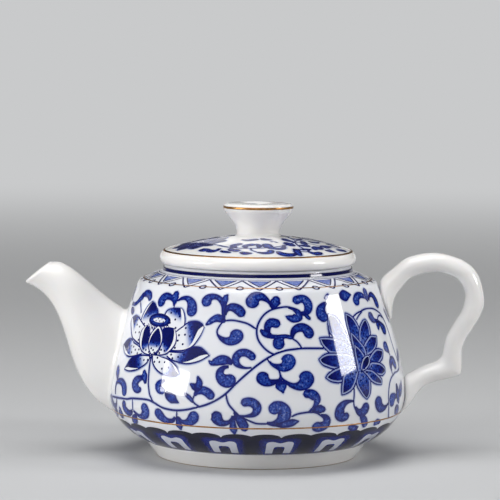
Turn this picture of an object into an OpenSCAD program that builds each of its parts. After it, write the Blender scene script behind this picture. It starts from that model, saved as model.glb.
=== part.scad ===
// Blue-and-white porcelain teapot for two or three cups: a low belly under a long sloping
// wall, a short neck, a domed lid with a flared knob, a poured spout and an ear-shaped handle.
// Origin: centre of the foot ring, on the table. +Z up, spout towards -X, handle towards +X.

/* [Pot wall] */
// Radius of the pot at its widest
belly_r = 55; // [50:0.5:62]
// Height of the widest ring above the table
belly_z = 22.5; // [20:0.5:26]
// Radius of the shoulder corner
shoulder_r = 44; // [41:0.5:47]
// Height of the shoulder corner above the table
shoulder_z = 65.1; // [60:0.1:76]
// Thickness of the cast wall and floor
wall_t = 3; // [2:0.1:4]

/* [Foot] */
// Height of the foot ring
foot_h = 5.4; // [4:0.1:7]
// Outer radius of the foot ring where it meets the pot
foot_top_r = 40.2; // [37:0.1:43]
// Outer radius of the foot ring at the table
foot_base_r = 37.3; // [35:0.1:40]
// Width of the foot ring at the table
foot_w = 4; // [3:0.1:6]
// Rounding of the two lower edges of the foot ring
foot_edge = 0.8; // [0.3:0.1:1.2]

/* [Neck] */
// Outer radius of the neck
neck_r = 34.9; // [32:0.1:38]
// Width of the neck ring, from its bore to its outside
neck_w = 4.7; // [3.5:0.1:6]
// Rise of the shoulder from its corner to the neck
shoulder_rise = 3.7; // [2:0.1:6]
// Height of the neck above the shoulder
neck_h = 2.2; // [1.5:0.1:5]

/* [Lid] */
// Largest radius of the lid's rounded rim
lid_r = 36.4; // [34:0.1:40]
// Height of the lid's rim, from its seat to the gold line
lid_rim_h = 5; // [4:0.1:7]
// How far the gold line lies inside the rim's largest radius
lid_rim_in = 1.6; // [1:0.1:3]
// Rise of the dome from the gold line to the foot of the knob
lid_rise = 5.5; // [3:0.1:10]
// Thickness of the dome
lid_t = 2.8; // [2:0.1:4]
// Depth of the skirt that hangs in the neck
skirt_h = 7; // [5:0.5:10]
// Thickness of the skirt
skirt_t = 2.4; // [2:0.1:3]
// Steam hole diameter
vent_d = 2.4; // [2:0.1:4]
// Distance of the steam hole from the knob's foot
vent_out = 8; // [4:0.5:12]

/* [Knob] */
// Radius of the knob at its foot
knob_foot_r = 8; // [7:0.1:10]
// Radius of the knob's waist
knob_waist_r = 7.8; // [6.5:0.1:9]
// Radius of the knob's rim
knob_r = 12.9; // [11:0.1:15]
// Height of the knob
knob_h = 12.1; // [10:0.1:16]
// Depth of the shallow dish in the knob's top
knob_dish = 0.5; // [0.2:0.1:0.8]

/* [Spout] */
// Reach of the spout's lip beyond the belly
spout_reach = 30.8; // [26:0.2:36]
// Height of the lip's upper edge above the rim of the neck
spout_lip_rise = 0.2; // [-2:0.1:6]
// Outer width of the spout's mouth
mouth_w = 11.6; // [10:0.1:14]
// Slope of the mouth's cut, from level
mouth_tilt = 43; // [35:1:50]
// Height of the spout's upper root above the table
spout_root_top = 52; // [48:0.5:56]
// Height of the spout's lower root above the table
spout_root_low = 14.5; // [13:0.5:18]
// Outer width of the spout's root, across the pot
spout_root_w = 26; // [22:0.5:30]
// Thickness of the spout's wall
spout_t = 2; // [1.5:0.1:2.4]

/* [Strainer] */
// Diameter of the strainer's holes
hole_d = 2.8; // [2:0.1:3.2]
// Spacing of the strainer's holes
hole_pitch = 4.2; // [4:0.1:5]
// Height of the strainer's centre above the table
strainer_z = 33; // [30:0.5:36]

/* [Handle] */
// Reach of the handle beyond the belly
handle_reach = 29; // [25:0.2:34]
// Thickness of the handle's grip, seen from the side
grip_t = 7.1; // [6:0.1:9]
// Width of the handle's grip, across the pot
grip_w = 8.6; // [7:0.1:11]
// Width of the handle's upper root, across the pot
handle_top_w = 13; // [11:0.5:15]
// Width of the handle's lower root, across the pot
handle_low_w = 12; // [10:0.5:15]

/* [Gilding] */
// Width of a gold line
gilt_w = 0.5; // [0.3:0.1:1]
// Thickness of a gold line
gilt_t = 0.15; // [0.1:0.05:0.3]
// How far a gold line stands out of the glaze
gilt_proud = 0.03; // [0.02:0.01:0.05]
// Height of the belly's gold line above the table
belly_gilt_z = 17.3; // [14:0.1:20]

/* [Fits] */
// Gap between the lid and its seat
seat_gap = 0.1; // [0.05:0.05:0.3]
// Gap all round between the lid's skirt and the neck
skirt_gap = 0.6; // [0.4:0.1:1]
// Gap left for the slip between a luted piece and the wall
slip_gap = 0.02; // [0.01:0.01:0.05]

/* [Hidden] */
$fn = 96;

PORCELAIN = "#f4f6f9";
GOLD = "#c39a52";
CURVE_STEPS = 14;
SPOUT_SIDES = 40;
SPOUT_RINGS = 26;
HANDLE_SIDES = 24;
HANDLE_STEPS = 4;

neck_z = shoulder_z + shoulder_rise;
neck_top = neck_z + neck_h;
neck_bore = neck_r - neck_w;
body_h = shoulder_z - foot_h;
lid_z = neck_top + seat_gap;
lid_gold_r = lid_r - lid_rim_in;
lid_gold_z = lid_z + lid_rim_h;
knob_z = lid_gold_z + lid_rise;
skirt_r = neck_bore - skirt_gap;

// ---- curves -------------------------------------------------------------------------------

// Point at t on a cubic curve with the control points p
function on_curve(p, t) =
    pow(1 - t, 3) * p[0] + 3 * pow(1 - t, 2) * t * p[1] + 3 * (1 - t) * t * t * p[2] + pow(t, 3) * p[3];

// The curve as points, from its start to its end
function curve(p, steps = CURVE_STEPS) = [for (i = [0 : steps]) on_curve(p, i / steps)];

// A list without its first item
function rest_of(list) = [for (i = [1 : len(list) - 1]) list[i]];

// A list without its last item
function but_last(list) = [for (i = [0 : len(list) - 2]) list[i]];

// A list from its end to its start
function reversed(list) = [for (i = [len(list) - 1 : -1 : 0]) list[i]];

// Unit vector along v
function unit(v) = v / norm(v);

// Quarter circle about c from angle a0 to a1
function arc(c, r, a0, a1, steps = 6) =
    [for (i = [0 : steps]) let (a = a0 + (a1 - a0) * i / steps) c + r * [cos(a), sin(a)]];

// The outline moved to its left by t, point by point, along the mean normal of its two sides
function inset(line, t) = [for (i = [0 : len(line) - 1])
    let (before = line[max(i - 1, 0)], after = line[min(i + 1, len(line) - 1)],
         along = unit(after - before))
    line[i] + t * [-along[1], along[0]]];

// Point at t on a smooth line through all of the points; t runs from 0 to their number less one
function through(points, t) =
    let (i = min(floor(t), len(points) - 2), f = t - i,
         a = points[max(i - 1, 0)], b = points[i], c = points[i + 1],
         d = points[min(i + 2, len(points) - 1)])
    0.5 * (2 * b + (c - a) * f + (2 * a - 5 * b + 4 * c - d) * f * f
           + (3 * b - a - 3 * c + d) * f * f * f);

// ---- the pot's outline ----------------------------------------------------------------------

// From the foot round the low belly to its widest ring, and from there up the sloping wall and
// over the shoulder to the neck
bowl_line = curve([[foot_top_r, foot_h], [foot_top_r + 5, foot_h + 2],
                   [belly_r - 1, belly_z - 9.7], [belly_r, belly_z]]);
wall_line = concat(curve([[belly_r, belly_z], [belly_r, belly_z + 11],
                          [shoulder_r + 7, shoulder_z - 19.1], [shoulder_r, shoulder_z]]),
                   [[neck_r, neck_z]]);
shoulder_dir = unit([neck_r - shoulder_r, shoulder_rise]);
collar_z = neck_z + wall_t / shoulder_dir[0];
seam_inside = [belly_r - wall_t, belly_z];
bowl_inside = concat(but_last(inset(bowl_line, wall_t)), [seam_inside]);
wall_inside = concat([seam_inside], rest_of(but_last(inset(wall_line, wall_t))),
                     [[neck_r, collar_z]]);
wall_table = [for (p = concat(bowl_line, rest_of(wall_line))) [p[1], p[0]]];

// Outer radius of the pot at height z
function wall_r(z) = lookup(z, wall_table);

// How far a point lies outside the pot's wall
function outside(p) = norm([p[0], p[1]]) - wall_r(p[2]) - slip_gap;

// Direction of the outline at height z, as a unit vector in r and z
function wall_dir(z) = unit([wall_r(z + 0.2) - wall_r(z - 0.2), 0.4]);

// ---- gold lines -----------------------------------------------------------------------------

// Section of a gold line centred at p on a surface that runs along dir, with its outside to
// the right of dir
module gilt_section(p, dir, proud) {
    translate(p)
        rotate(atan2(dir[1], dir[0]))
            translate([-gilt_w / 2, -proud]) square([gilt_w, gilt_t + proud]);
}

module gilt_ring(p, dir) {
    rotate_extrude() gilt_section(p, dir, gilt_proud);
}

// The groove in the porcelain that the gold fills
module gilt_groove(p, dir) {
    rotate_extrude() gilt_section(p, dir, 0.5);
}

// The belly's gold line stops at the roots of spout and handle
module belly_arcs() {
    difference() {
        children();
        translate([-2 * belly_r, -spout_root_w / 4, 0])
            cube([2 * belly_r, spout_root_w / 2, belly_z]);
        translate([0, -handle_low_w / 2, 0]) cube([2 * belly_r, handle_low_w, belly_z]);
    }
}

shoulder_gilt_p = [shoulder_r, shoulder_z] + (gilt_w / 2 + 0.1) * shoulder_dir;
belly_gilt_p = [wall_r(belly_gilt_z), belly_gilt_z];
belly_gilt_dir = wall_dir(belly_gilt_z);

// ---- lofted pieces --------------------------------------------------------------------------

// Joins rings of points, each with as many points, into one closed skin; the last ring meets
// the first
function loop_faces(rings, sides) = [for (i = [0 : rings - 1], j = [0 : sides - 1])
    let (k = (j + 1) % sides, n = (i + 1) % rings)
    each [[i * sides + j, i * sides + k, n * sides + k],
          [i * sides + j, n * sides + k, n * sides + j]]];

// Where a line of the skin passes through the pot's wall. The line is section(t) with t from
// lo, inside the wall, to hi, outside it
function find_wall(at, lo, hi, turns = 22) = turns == 0 ? (lo + hi) / 2 :
    let (mid = (lo + hi) / 2)
    outside(at(mid)) > 0 ? find_wall(at, lo, mid, turns - 1) : find_wall(at, mid, hi, turns - 1);

// ---- spout ----------------------------------------------------------------------------------

lip_up = [cos(mouth_tilt), sin(mouth_tilt)];
lip_low_p = [-belly_r - spout_reach, neck_top + spout_lip_rise - mouth_w * lip_up[1]];
lip_top_p = lip_low_p + mouth_w * lip_up;
root_top_p = [1.5 * wall_t - wall_r(spout_root_top), spout_root_top];
root_low_p = [0.7 * wall_t - wall_r(spout_root_low), spout_root_low];
spout_back = [root_top_p, root_top_p + spout_reach * [-0.39, 0.195],
              lip_top_p + spout_reach * [0.28, 0.04], lip_top_p];
spout_belly = [root_low_p, root_low_p + spout_reach * [-0.715, 0.373],
               lip_low_p + spout_reach * [0.643, -0.253], lip_low_p];

// Half width of the spout across the pot, from its root at 0 to its mouth at 1
function spout_half_w(t) =
    on_curve([spout_root_w, 0.96 * spout_root_w, 1.26 * mouth_w, mouth_w], t) / 2;

// Point of the spout's skin at t along it and at angle a round it, thin inside the outer skin
function spout_p(t, a, thin) =
    let (top = on_curve(spout_back, t), low = on_curve(spout_belly, t),
         mid = (top + low) / 2, up = unit(top - low), half = norm(top - low) / 2 - thin,
         p = mid + half * cos(a) * up)
    [p[0], (spout_half_w(t) - thin) * sin(a), p[1]];

// One ring of the skin, a share s of the way from the wall to the mouth
function spout_ring(s, thin) = [for (j = [0 : SPOUT_SIDES - 1])
    let (a = 360 * j / SPOUT_SIDES,
         start = find_wall(function(t) spout_p(t, a, thin), 0, 0.6))
    spout_p(start + (1 - start) * s, a, thin)];

// The rounded lip stands a little beyond the cut
lip_out = [-lip_up[1], 0, lip_up[0]];
lip_ring = [for (p = spout_ring(1, spout_t / 2)) p + 0.7 * lip_out];
lip_outer = [for (p = spout_ring(1, spout_t / 6)) p + 0.4 * lip_out];
lip_inner = [for (p = spout_ring(1, spout_t * 5 / 6)) p + 0.4 * lip_out];

// ---- handle ---------------------------------------------------------------------------------

// Stations from the upper root to the lower one. Each holds the inner edge and the outer edge,
// and how wide the section is, from 0 at the grip to 1 at the root. An edge is given by the
// share of the body's height and either its distance outside the wall, in grip thicknesses, or
// its share of the way from the shoulder's radius to the handle's outermost point
handle_out = belly_r + handle_reach;
function at_wall(d, v) = [wall_r(foot_h + v * body_h) + d * grip_t, foot_h + v * body_h];
function at_grip(k, v) = [shoulder_r + k * (handle_out - shoulder_r), foot_h + v * body_h];
handle_stations = [
    [at_wall(-0.4, 0.70), at_wall(-0.55, 0.93), 1],
    [at_wall(0.03, 0.745), at_wall(0, 0.972), 1],
    [at_grip(0.162, 0.875), at_grip(0.06, 1.022), 0.55],
    [at_grip(0.225, 0.95), at_grip(0.145, 1.073), 0.2],
    [at_grip(0.335, 1.025), at_grip(0.292, 1.146), 0],
    [at_grip(0.535, 1.058), at_grip(0.535, 1.176), 0],
    [at_grip(0.712, 1.029), at_grip(0.785, 1.135), 0],
    [at_grip(0.795, 0.975), at_grip(0.935, 1.047), 0],
    [at_grip(0.822, 0.905), at_grip(1, 0.893), 0],
    [at_grip(0.795, 0.82), at_grip(0.97, 0.793), 0],
    [at_grip(0.725, 0.745), at_grip(0.892, 0.705), 0],
    [at_grip(0.655, 0.655), at_grip(0.832, 0.635), 0],
    [at_grip(0.628, 0.575), at_grip(0.802, 0.57), 0],
    [at_grip(0.61, 0.53), at_grip(0.798, 0.44), 0],
    [at_grip(0.56, 0.5), at_grip(0.745, 0.405), 0],
    [at_grip(0.475, 0.478), at_grip(0.538, 0.37), 0.1],
    [at_grip(0.395, 0.455), at_grip(0.42, 0.322), 0.4],
    [at_wall(0.31, 0.425), at_wall(0.34, 0.22), 0.85],
    [at_wall(-0.03, 0.415), at_wall(-0.03, 0.145), 1],
    [at_wall(-0.55, 0.39), at_wall(-0.4, 0.12), 1]];
// Thickness of the grip as the stations draw it
station_grip_t = 0.1775 * (handle_out - shoulder_r);
LAST_STATION = len(handle_stations) - 1;
inner_edge = [for (s = handle_stations) s[0]];
outer_edge = [for (s = handle_stations) s[1]];
root_share = [for (s = handle_stations) s[2]];

// Half width of the handle across the pot at t
function handle_half_w(t) =
    let (root_w = t < LAST_STATION / 2 ? handle_top_w : handle_low_w)
    (grip_w + (root_w - grip_w) * max(0, through(root_share, t))) / 2;

// Half thickness at t, where the stations draw it as drawn: the grip takes its own size, and
// the roots keep theirs
function handle_half_t(t, drawn) =
    let (share = max(0, min(1, through(root_share, t))))
    drawn * (share + (1 - share) * grip_t / station_grip_t);

// Point of the handle's skin at t along it and at angle a round it, a share k of the way from
// its middle
function handle_p(t, a, k = 1) =
    let (low = through(inner_edge, t), high = through(outer_edge, t), mid = (low + high) / 2,
         half = handle_half_t(t, norm(high - low) / 2),
         p = mid + k * half * cos(a) * unit(high - low))
    [p[0], k * handle_half_w(t) * sin(a), p[1]];

// One ring of the handle, a share s of the way from the upper root to the lower one
function handle_ring(s, k = 1) = [for (j = [0 : HANDLE_SIDES - 1])
    let (a = 360 * j / HANDLE_SIDES,
         first = find_wall(function(t) handle_p(t, a, k), 0, 2),
         last = find_wall(function(t) handle_p(t, a, k), LAST_STATION, LAST_STATION - 2),
         near = 2 + s * (LAST_STATION - 4))
    s == 0 ? handle_p(first, a, k) : s == 1 ? handle_p(last, a, k) : handle_p(near, a, k)];

// ---- lid ------------------------------------------------------------------------------------

lid_rim = curve([[lid_gold_r - 0.3, lid_z], [lid_r + 0.55, lid_z + 0.4],
                 [lid_r + 0.55, lid_gold_z - 1.8], [lid_gold_r, lid_gold_z]], 12);
dome = curve([[lid_gold_r, lid_gold_z], [lid_gold_r - 7.3, lid_gold_z + 0.48 * lid_rise],
              [knob_foot_r + 9, knob_z - 0.18 * lid_rise], [knob_foot_r, knob_z]]);
dome_under = [for (p = inset(dome, lid_t)) if (p[0] < skirt_r - skirt_t) p];
lid_gilt_dir = unit([-1, 0.55]);
lid_gilt_p = [lid_gold_r, lid_gold_z];

// ---- knob -----------------------------------------------------------------------------------

knob_top = knob_z + knob_h;
knob_side = curve([[knob_foot_r, knob_z], [knob_waist_r - 0.7, knob_z + 0.28 * knob_h],
                   [knob_r - 2.6, knob_z + 0.55 * knob_h], [knob_r, knob_top - 2.1]], 12);
knob_edge = arc([knob_r - 1, knob_top - 1.1], 1, 0, 90);
knob_gilt_p = [knob_r, knob_top - 1.5];

// ---- pieces ---------------------------------------------------------------------------------

// A hole of the strainer, through the wall towards the spout
module strainer_hole(y, z) {
    translate([-wall_r(z) - wall_t, y, z])
        rotate([0, 90, 0]) cylinder(h = 3 * wall_t + 3, d = hole_d);
}

// Five rows of holes in a six-sided group, three to five to a row
module strainer_holes() {
    for (row = [-2 : 2], i = [0 : 4 - abs(row)])
        strainer_hole((i - (4 - abs(row)) / 2) * hole_pitch,
                      strainer_z + row * hole_pitch * sin(60));
}

// The lower half of the pot, up to its widest ring, with the floor
module pot_bowl() {
    color(PORCELAIN)
        difference() {
            rotate_extrude()
                polygon(concat([[0, foot_h]], bowl_line, reversed(bowl_inside),
                               [[0, bowl_inside[0][1]]]));
            belly_arcs() gilt_groove(belly_gilt_p, belly_gilt_dir);
        }
}

// The upper half of the pot, luted to the bowl at the widest ring, with shoulder and strainer
module pot_wall() {
    color(PORCELAIN)
        difference() {
            rotate_extrude() polygon(concat(wall_line, reversed(wall_inside)));
            strainer_holes();
            gilt_groove(shoulder_gilt_p, shoulder_dir);
        }
}

module foot_ring() {
    inner_r = foot_base_r - foot_w;
    color(PORCELAIN)
        rotate_extrude()
            polygon(concat([[foot_top_r, foot_h], [inner_r - 0.6, foot_h]],
                           arc([inner_r + foot_edge, foot_edge], foot_edge, 180, 270),
                           arc([foot_base_r - foot_edge, foot_edge], foot_edge, 270, 350)));
}

module neck_ring() {
    round_r = 0.8;
    color(PORCELAIN)
        rotate_extrude()
            polygon(concat([[neck_bore, collar_z], [neck_r, collar_z], [neck_r, neck_z]],
                           arc([neck_r - 0.3 - round_r, neck_top - round_r], round_r, 0, 90),
                           arc([neck_bore + round_r, neck_top - round_r], round_r, 90, 180)));
}

module spout() {
    outer = [for (i = [0 : SPOUT_RINGS]) spout_ring(i / SPOUT_RINGS, 0)];
    inner = [for (i = [SPOUT_RINGS : -1 : 0]) spout_ring(i / SPOUT_RINGS, spout_t)];
    rings = concat(outer, [lip_outer, lip_ring, lip_inner], inner);
    color(PORCELAIN)
        polyhedron([for (r = rings) each r], loop_faces(len(rings), SPOUT_SIDES));
}

module handle() {
    count = HANDLE_STEPS * (LAST_STATION - 4);
    skin = [for (i = [0 : count]) handle_ring(i / count)];
    // Three smaller rings and a middle point close each root against the round wall
    top_cap = [for (k = [0.02, 0.35, 0.7]) handle_ring(0, k)];
    low_cap = [for (k = [0.7, 0.35, 0.02]) handle_ring(1, k)];
    rings = concat(top_cap, skin, low_cap);
    n = HANDLE_SIDES;
    side = [for (f = loop_faces(len(rings), n)) if (max(f) - min(f) < 2 * n) f];
    first = [for (j = [0 : n - 1]) n - 1 - j];
    last = [for (j = [0 : n - 1]) (len(rings) - 1) * n + j];
    color(PORCELAIN)
        polyhedron([for (r = rings) each r], concat(side, [first, last]));
}

module shoulder_gilt() {
    color(GOLD) gilt_ring(shoulder_gilt_p, shoulder_dir);
}

module belly_gilt() {
    color(GOLD) belly_arcs() gilt_ring(belly_gilt_p, belly_gilt_dir);
}

module lid_cover() {
    bore_r = skirt_r - skirt_t;
    under_top = dome_under[len(dome_under) - 1];
    color(PORCELAIN)
        difference() {
            rotate_extrude()
                polygon(concat([[bore_r, lid_z]], lid_rim, rest_of(dome), [[0, knob_z]],
                               [[0, under_top[1]]], reversed(dome_under),
                               [[bore_r, dome_under[0][1]]]));
            translate([0, knob_foot_r + vent_out, lid_z])
                cylinder(h = knob_z - lid_z, d = vent_d);
            gilt_groove(lid_gilt_p, lid_gilt_dir);
        }
}

module lid_skirt() {
    color(PORCELAIN)
        rotate_extrude()
            polygon(concat([[skirt_r, lid_z], [skirt_r - skirt_t, lid_z]],
                           arc([skirt_r - skirt_t + 1, lid_z - skirt_h + 1], 1, 180, 270),
                           arc([skirt_r - 1, lid_z - skirt_h + 1], 1, 270, 360)));
}

module lid_knob() {
    color(PORCELAIN)
        difference() {
            rotate_extrude()
                polygon(concat([[0, knob_z]], knob_side, knob_edge,
                               [[knob_r - 3, knob_top - 0.1], [0, knob_top - 0.1 - knob_dish]]));
            gilt_groove(knob_gilt_p, [0, 1]);
        }
}

module lid_gilt() {
    color(GOLD) gilt_ring(lid_gilt_p, lid_gilt_dir);
}

module knob_gilt() {
    color(GOLD) gilt_ring(knob_gilt_p, [0, 1]);
}

pot_bowl();
pot_wall();
foot_ring();
neck_ring();
spout();
handle();
shoulder_gilt();
belly_gilt();
lid_cover();
lid_skirt();
lid_knob();
lid_gilt();
knob_gilt();
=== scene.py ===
"""Blue-and-white porcelain teapot: glazed shapes, fired gold lines and underglaze painting."""

import math
from types import SimpleNamespace

import bpy
import numpy as np
from mathutils import Matrix, Vector


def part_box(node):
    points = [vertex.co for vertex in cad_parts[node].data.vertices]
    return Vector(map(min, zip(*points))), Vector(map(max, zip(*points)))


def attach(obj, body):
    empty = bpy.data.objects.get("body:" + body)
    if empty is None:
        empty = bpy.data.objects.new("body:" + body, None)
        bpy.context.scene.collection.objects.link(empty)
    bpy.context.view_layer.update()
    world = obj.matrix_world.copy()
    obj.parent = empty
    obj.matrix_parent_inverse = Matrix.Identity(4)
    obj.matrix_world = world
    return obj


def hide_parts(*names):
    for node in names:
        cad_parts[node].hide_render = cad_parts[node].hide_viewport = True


bl_info = {
    "name": "Blue-and-white Teapot",
    "version": (1, 0, 0),
    "blender": (4, 5, 0),
    "location": "View3D > Sidebar > Teapot",
    "description": "Builds a painted porcelain teapot round its packed solids",
    "category": "Add Mesh",
}

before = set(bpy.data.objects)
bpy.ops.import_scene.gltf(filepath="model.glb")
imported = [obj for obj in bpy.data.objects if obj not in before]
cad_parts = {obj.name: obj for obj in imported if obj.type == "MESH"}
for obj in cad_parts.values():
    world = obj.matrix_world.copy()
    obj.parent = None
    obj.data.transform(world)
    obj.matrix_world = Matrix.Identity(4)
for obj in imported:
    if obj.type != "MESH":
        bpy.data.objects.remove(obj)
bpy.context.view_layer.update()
MM = 0.001
KNOB_FOOT_R = 8.0   # where the knob meets the lid's dome, mm


def reach(node, corner, axis):
    """A corner of a CAD node's box along one axis, in metres."""
    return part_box(node)[corner][axis]


# ---- sizes and colours ------------------------------------------------------------------------

def length(name, description, default):
    """A length in metres."""
    return bpy.props.FloatProperty(name=name, description=description, default=default,
                                   unit="LENGTH", subtype="DISTANCE", precision=4)


def hex_to_linear(text):
    """sRGB hex value to linear red, green, blue and an alpha of 1."""
    parts = [int(text[i:i + 2], 16) / 255 for i in (1, 3, 5)]
    return tuple(c / 12.92 if c <= 0.04045 else ((c + 0.055) / 1.055) ** 2.4
                 for c in parts) + (1.0,)


def colour(name, description, text):
    """A colour, its default written as an sRGB hex value."""
    return bpy.props.FloatVectorProperty(name=name, description=description, subtype="COLOR",
                                         size=4, min=0.0, max=1.0, default=hex_to_linear(text))


class TeapotSizes(bpy.types.PropertyGroup):
    """Sizes of the porcelain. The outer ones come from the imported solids."""
    belly_r: length("Belly radius", "Radius at the widest ring", reach("pot_bowl", 1, 1))
    belly_z: length("Belly height", "Height of the widest ring", reach("pot_bowl", 1, 2))
    shoulder_r: length("Shoulder radius", "Radius of the shoulder corner", 0.0440)
    shoulder_z: length("Shoulder height", "Height of the shoulder corner", 0.0651)
    wall_t: length("Wall", "Thickness of the cast wall", 0.0030)
    foot_h: length("Foot height", "Height of the foot ring", reach("foot_ring", 1, 2))
    foot_top_r: length("Foot radius", "Foot ring where it meets the pot", 0.0402)
    foot_base_r: length("Foot base radius", "Foot ring at the table", 0.0373)
    foot_w: length("Foot width", "Width of the foot ring at the table", 0.0040)
    neck_r: length("Neck radius", "Outer radius of the neck", reach("neck_ring", 1, 1))
    neck_w: length("Neck width", "From its bore to its outside", 0.0047)
    neck_top: length("Neck height", "Top of the neck above the table", reach("neck_ring", 1, 2))
    spout_tip: length("Spout reach", "Lip's distance from the axis", 0.0858)
    mouth_w: length("Spout mouth", "Outer width of the mouth", 0.0116)
    handle_out: length("Handle reach", "Outermost point of the handle",
                       reach("handle", 1, 0))
    grip_w: length("Grip width", "Width of the handle's grip", 0.0086)
    lid_r: length("Lid radius", "Largest radius of the lid's rim", 0.0364)
    lid_z: length("Lid height", "Lid's seat above the table", reach("lid_cover", 0, 2))
    knob_z: length("Knob height", "Knob's foot above the table", reach("lid_knob", 0, 2))
    knob_r: length("Knob radius", "Radius of the knob's rim", reach("lid_knob", 1, 1))
    knob_top: length("Knob top", "Knob's rim above the table", reach("lid_knob", 1, 2))


class TeapotColours(bpy.types.PropertyGroup):
    """Colours of the porcelain, the cobalt and the gold."""
    porcelain: colour("Porcelain", "Glazed white porcelain", "#f4f3f2")
    # Painted shade: this copy of the porcelain is darker than the plain one, so the upturned wall
    # that faces the lamps shows less light; its blue tint is the cobalt's
    painted: colour("Painted porcelain", "Porcelain under the painting, blued by it", "#e6e8ee")
    biscuit: colour("Biscuit", "Unglazed edge of the foot", "#a5825c")
    cobalt_line: colour("Cobalt line", "Full-strength cobalt, as in the outlines", "#0b1670")
    cobalt_body: colour("Cobalt body", "Cobalt inside a leaf", "#20439f")
    cobalt_wash: colour("Cobalt wash", "Thin wash of cobalt", "#7d8dc2")
    cobalt_night: colour("Cobalt ground", "Nearly black cobalt of the border", "#02041c")
    gold: colour("Gold", "Fired gold", "#bd8c50")
    floor: colour("Floor", "Plain pale floor", "#c9cacb")


def sizes():
    """The sizes in millimetres, as a plain object."""
    group = bpy.context.scene.teapot_sizes
    names = TeapotSizes.__annotations__
    return SimpleNamespace(**{name: getattr(group, name) / MM for name in names})


def paint_of(name):
    """A colour of the teapot, linear with an alpha of 1."""
    return tuple(getattr(bpy.context.scene.teapot_colours, name))


# ---- curves and surfaces ----------------------------------------------------------------------

def on_curve(points, t):
    """Cubic curve: (1-t)^3 p0 + 3 (1-t)^2 t p1 + 3 (1-t) t^2 p2 + t^3 p3, t of any shape."""
    t = np.asarray(t, float)[..., None]
    p = np.asarray(points, float)
    return (1 - t)**3 * p[0] + 3 * (1 - t)**2 * t * p[1] + 3 * (1 - t) * t * t * p[2] + t**3 * p[3]


def curve(points, steps):
    """The cubic curve of four points as a line of that many steps."""
    return on_curve(points, np.linspace(0, 1, steps + 1))


def through(points, t):
    """Smooth line through all the points (Catmull-Rom); t runs from 0 to their number less one."""
    p = np.asarray(points, float)
    t = np.asarray(t, float)
    i = np.clip(np.floor(t).astype(int), 0, len(p) - 2)
    f = (t - i)[..., None]
    a, b, c, d = (p[np.clip(i + k, 0, len(p) - 1)] for k in (-1, 0, 1, 2))
    return 0.5 * (2*b + (c - a)*f + (2*a - 5*b + 4*c - d)*f*f + (3*b - a - 3*c + d)*f**3)


def arc(centre, r, start, end, steps=8):
    """Part of a circle about centre, from angle start to end in degrees."""
    a = np.radians(np.linspace(start, end, steps + 1))
    return np.asarray(centre) + r * np.stack([np.cos(a), np.sin(a)], 1)


def length_along(points):
    """How far along a line each of its points lies."""
    return np.concatenate([[0], np.cumsum(np.linalg.norm(np.diff(points, axis=0), axis=1))])


def places_at(at, run, line):
    """Places of a line at those lengths along it, where run is its own points' length along."""
    return np.stack([np.interp(at, run, column) for column in line.T], 1)


def spaced(line, step):
    """The line with its points about a step apart: linear along its own length."""
    line = np.asarray(line, float)
    run = length_along(line)
    return places_at(np.linspace(0, run[-1], max(2, int(round(run[-1] / step)) + 1)), run, line)


def closed_loop(line, step):
    """The line closed from its last point to its first, with points about a step apart."""
    return spaced(np.concatenate([line, line[:1]]), step)[:-1]


def softened(line, r, step):
    """The line with its corners rounded: spaced a step apart, then averaged with its
    neighbours until a corner has a radius of about r. Its ends stay."""
    line = spaced(line, step)
    for _ in range(max(1, int((r / step) ** 2 * 2))):
        line[1:-1] = 0.25 * line[:-2] + 0.5 * line[1:-1] + 0.25 * line[2:]
    return line


def unit(v):
    """v / |v| along the last axis."""
    return v / np.maximum(np.linalg.norm(v, axis=-1, keepdims=True), 1e-12)


def inset(line, t):
    """The line moved to its left by t, along the normal of the mean of its two sides."""
    before = np.concatenate([line[:1], line[:-1]])
    after = np.concatenate([line[1:], line[-1:]])
    along = unit(after - before)
    return line + t * np.stack([-along[:, 1], along[:, 0]], 1)


def grid_faces(rows, columns, wrap_rows=False, wrap_columns=False, start=0):
    """Four-sided faces of a grid of points, kept row by row, with closed rows or columns."""
    index = np.arange(rows * columns).reshape(rows, columns) + start
    if wrap_rows:
        index = np.concatenate([index, index[:1]])
    if wrap_columns:
        index = np.concatenate([index, index[:, :1]], 1)
    return np.stack([index[:-1, :-1], index[:-1, 1:], index[1:, 1:], index[1:, :-1]],
                    -1).reshape(-1, 4)


def put_mesh(name, points, faces, attributes=(), normals=None):
    """A mesh object from arrays in millimetres. Faces are arrays of three or four corners."""
    mesh = bpy.data.meshes.new(name)
    points = np.ascontiguousarray(points, np.float64).reshape(-1, 3)
    groups = faces if isinstance(faces, list) else [faces]
    corners = np.concatenate([g.reshape(-1) for g in groups]).astype(np.int32)
    counts = np.concatenate([np.full(len(g), g.shape[1]) for g in groups])
    mesh.vertices.add(len(points))
    mesh.vertices.foreach_set("co", (points * MM).astype(np.float32).reshape(-1))
    mesh.loops.add(len(corners))
    mesh.loops.foreach_set("vertex_index", corners)
    mesh.polygons.add(len(counts))
    starts = np.concatenate([[0], np.cumsum(counts)[:-1]]).astype(np.int32)
    mesh.polygons.foreach_set("loop_start", starts)
    mesh.polygons.foreach_set("use_smooth", np.ones(len(counts), bool))
    mesh.update(calc_edges=True)
    mesh.validate()
    for attribute, values in attributes:
        mesh.attributes.new(attribute, "FLOAT", "POINT").data.foreach_set(
            "value", np.asarray(values, np.float32).reshape(-1))
    if normals is not None:
        mesh.normals_split_custom_set_from_vertices(np.asarray(normals).reshape(-1, 3).tolist())
    piece = bpy.data.objects.new(name, mesh)
    bpy.context.scene.collection.objects.link(piece)
    return piece


def finished(piece, body, slot, material, *nodes):
    """Says which body a piece rides on, its finish and the solids it stands for."""
    piece.data.materials.append(material)
    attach(piece, body)
    if nodes:
        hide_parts(*nodes)
    return piece


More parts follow.
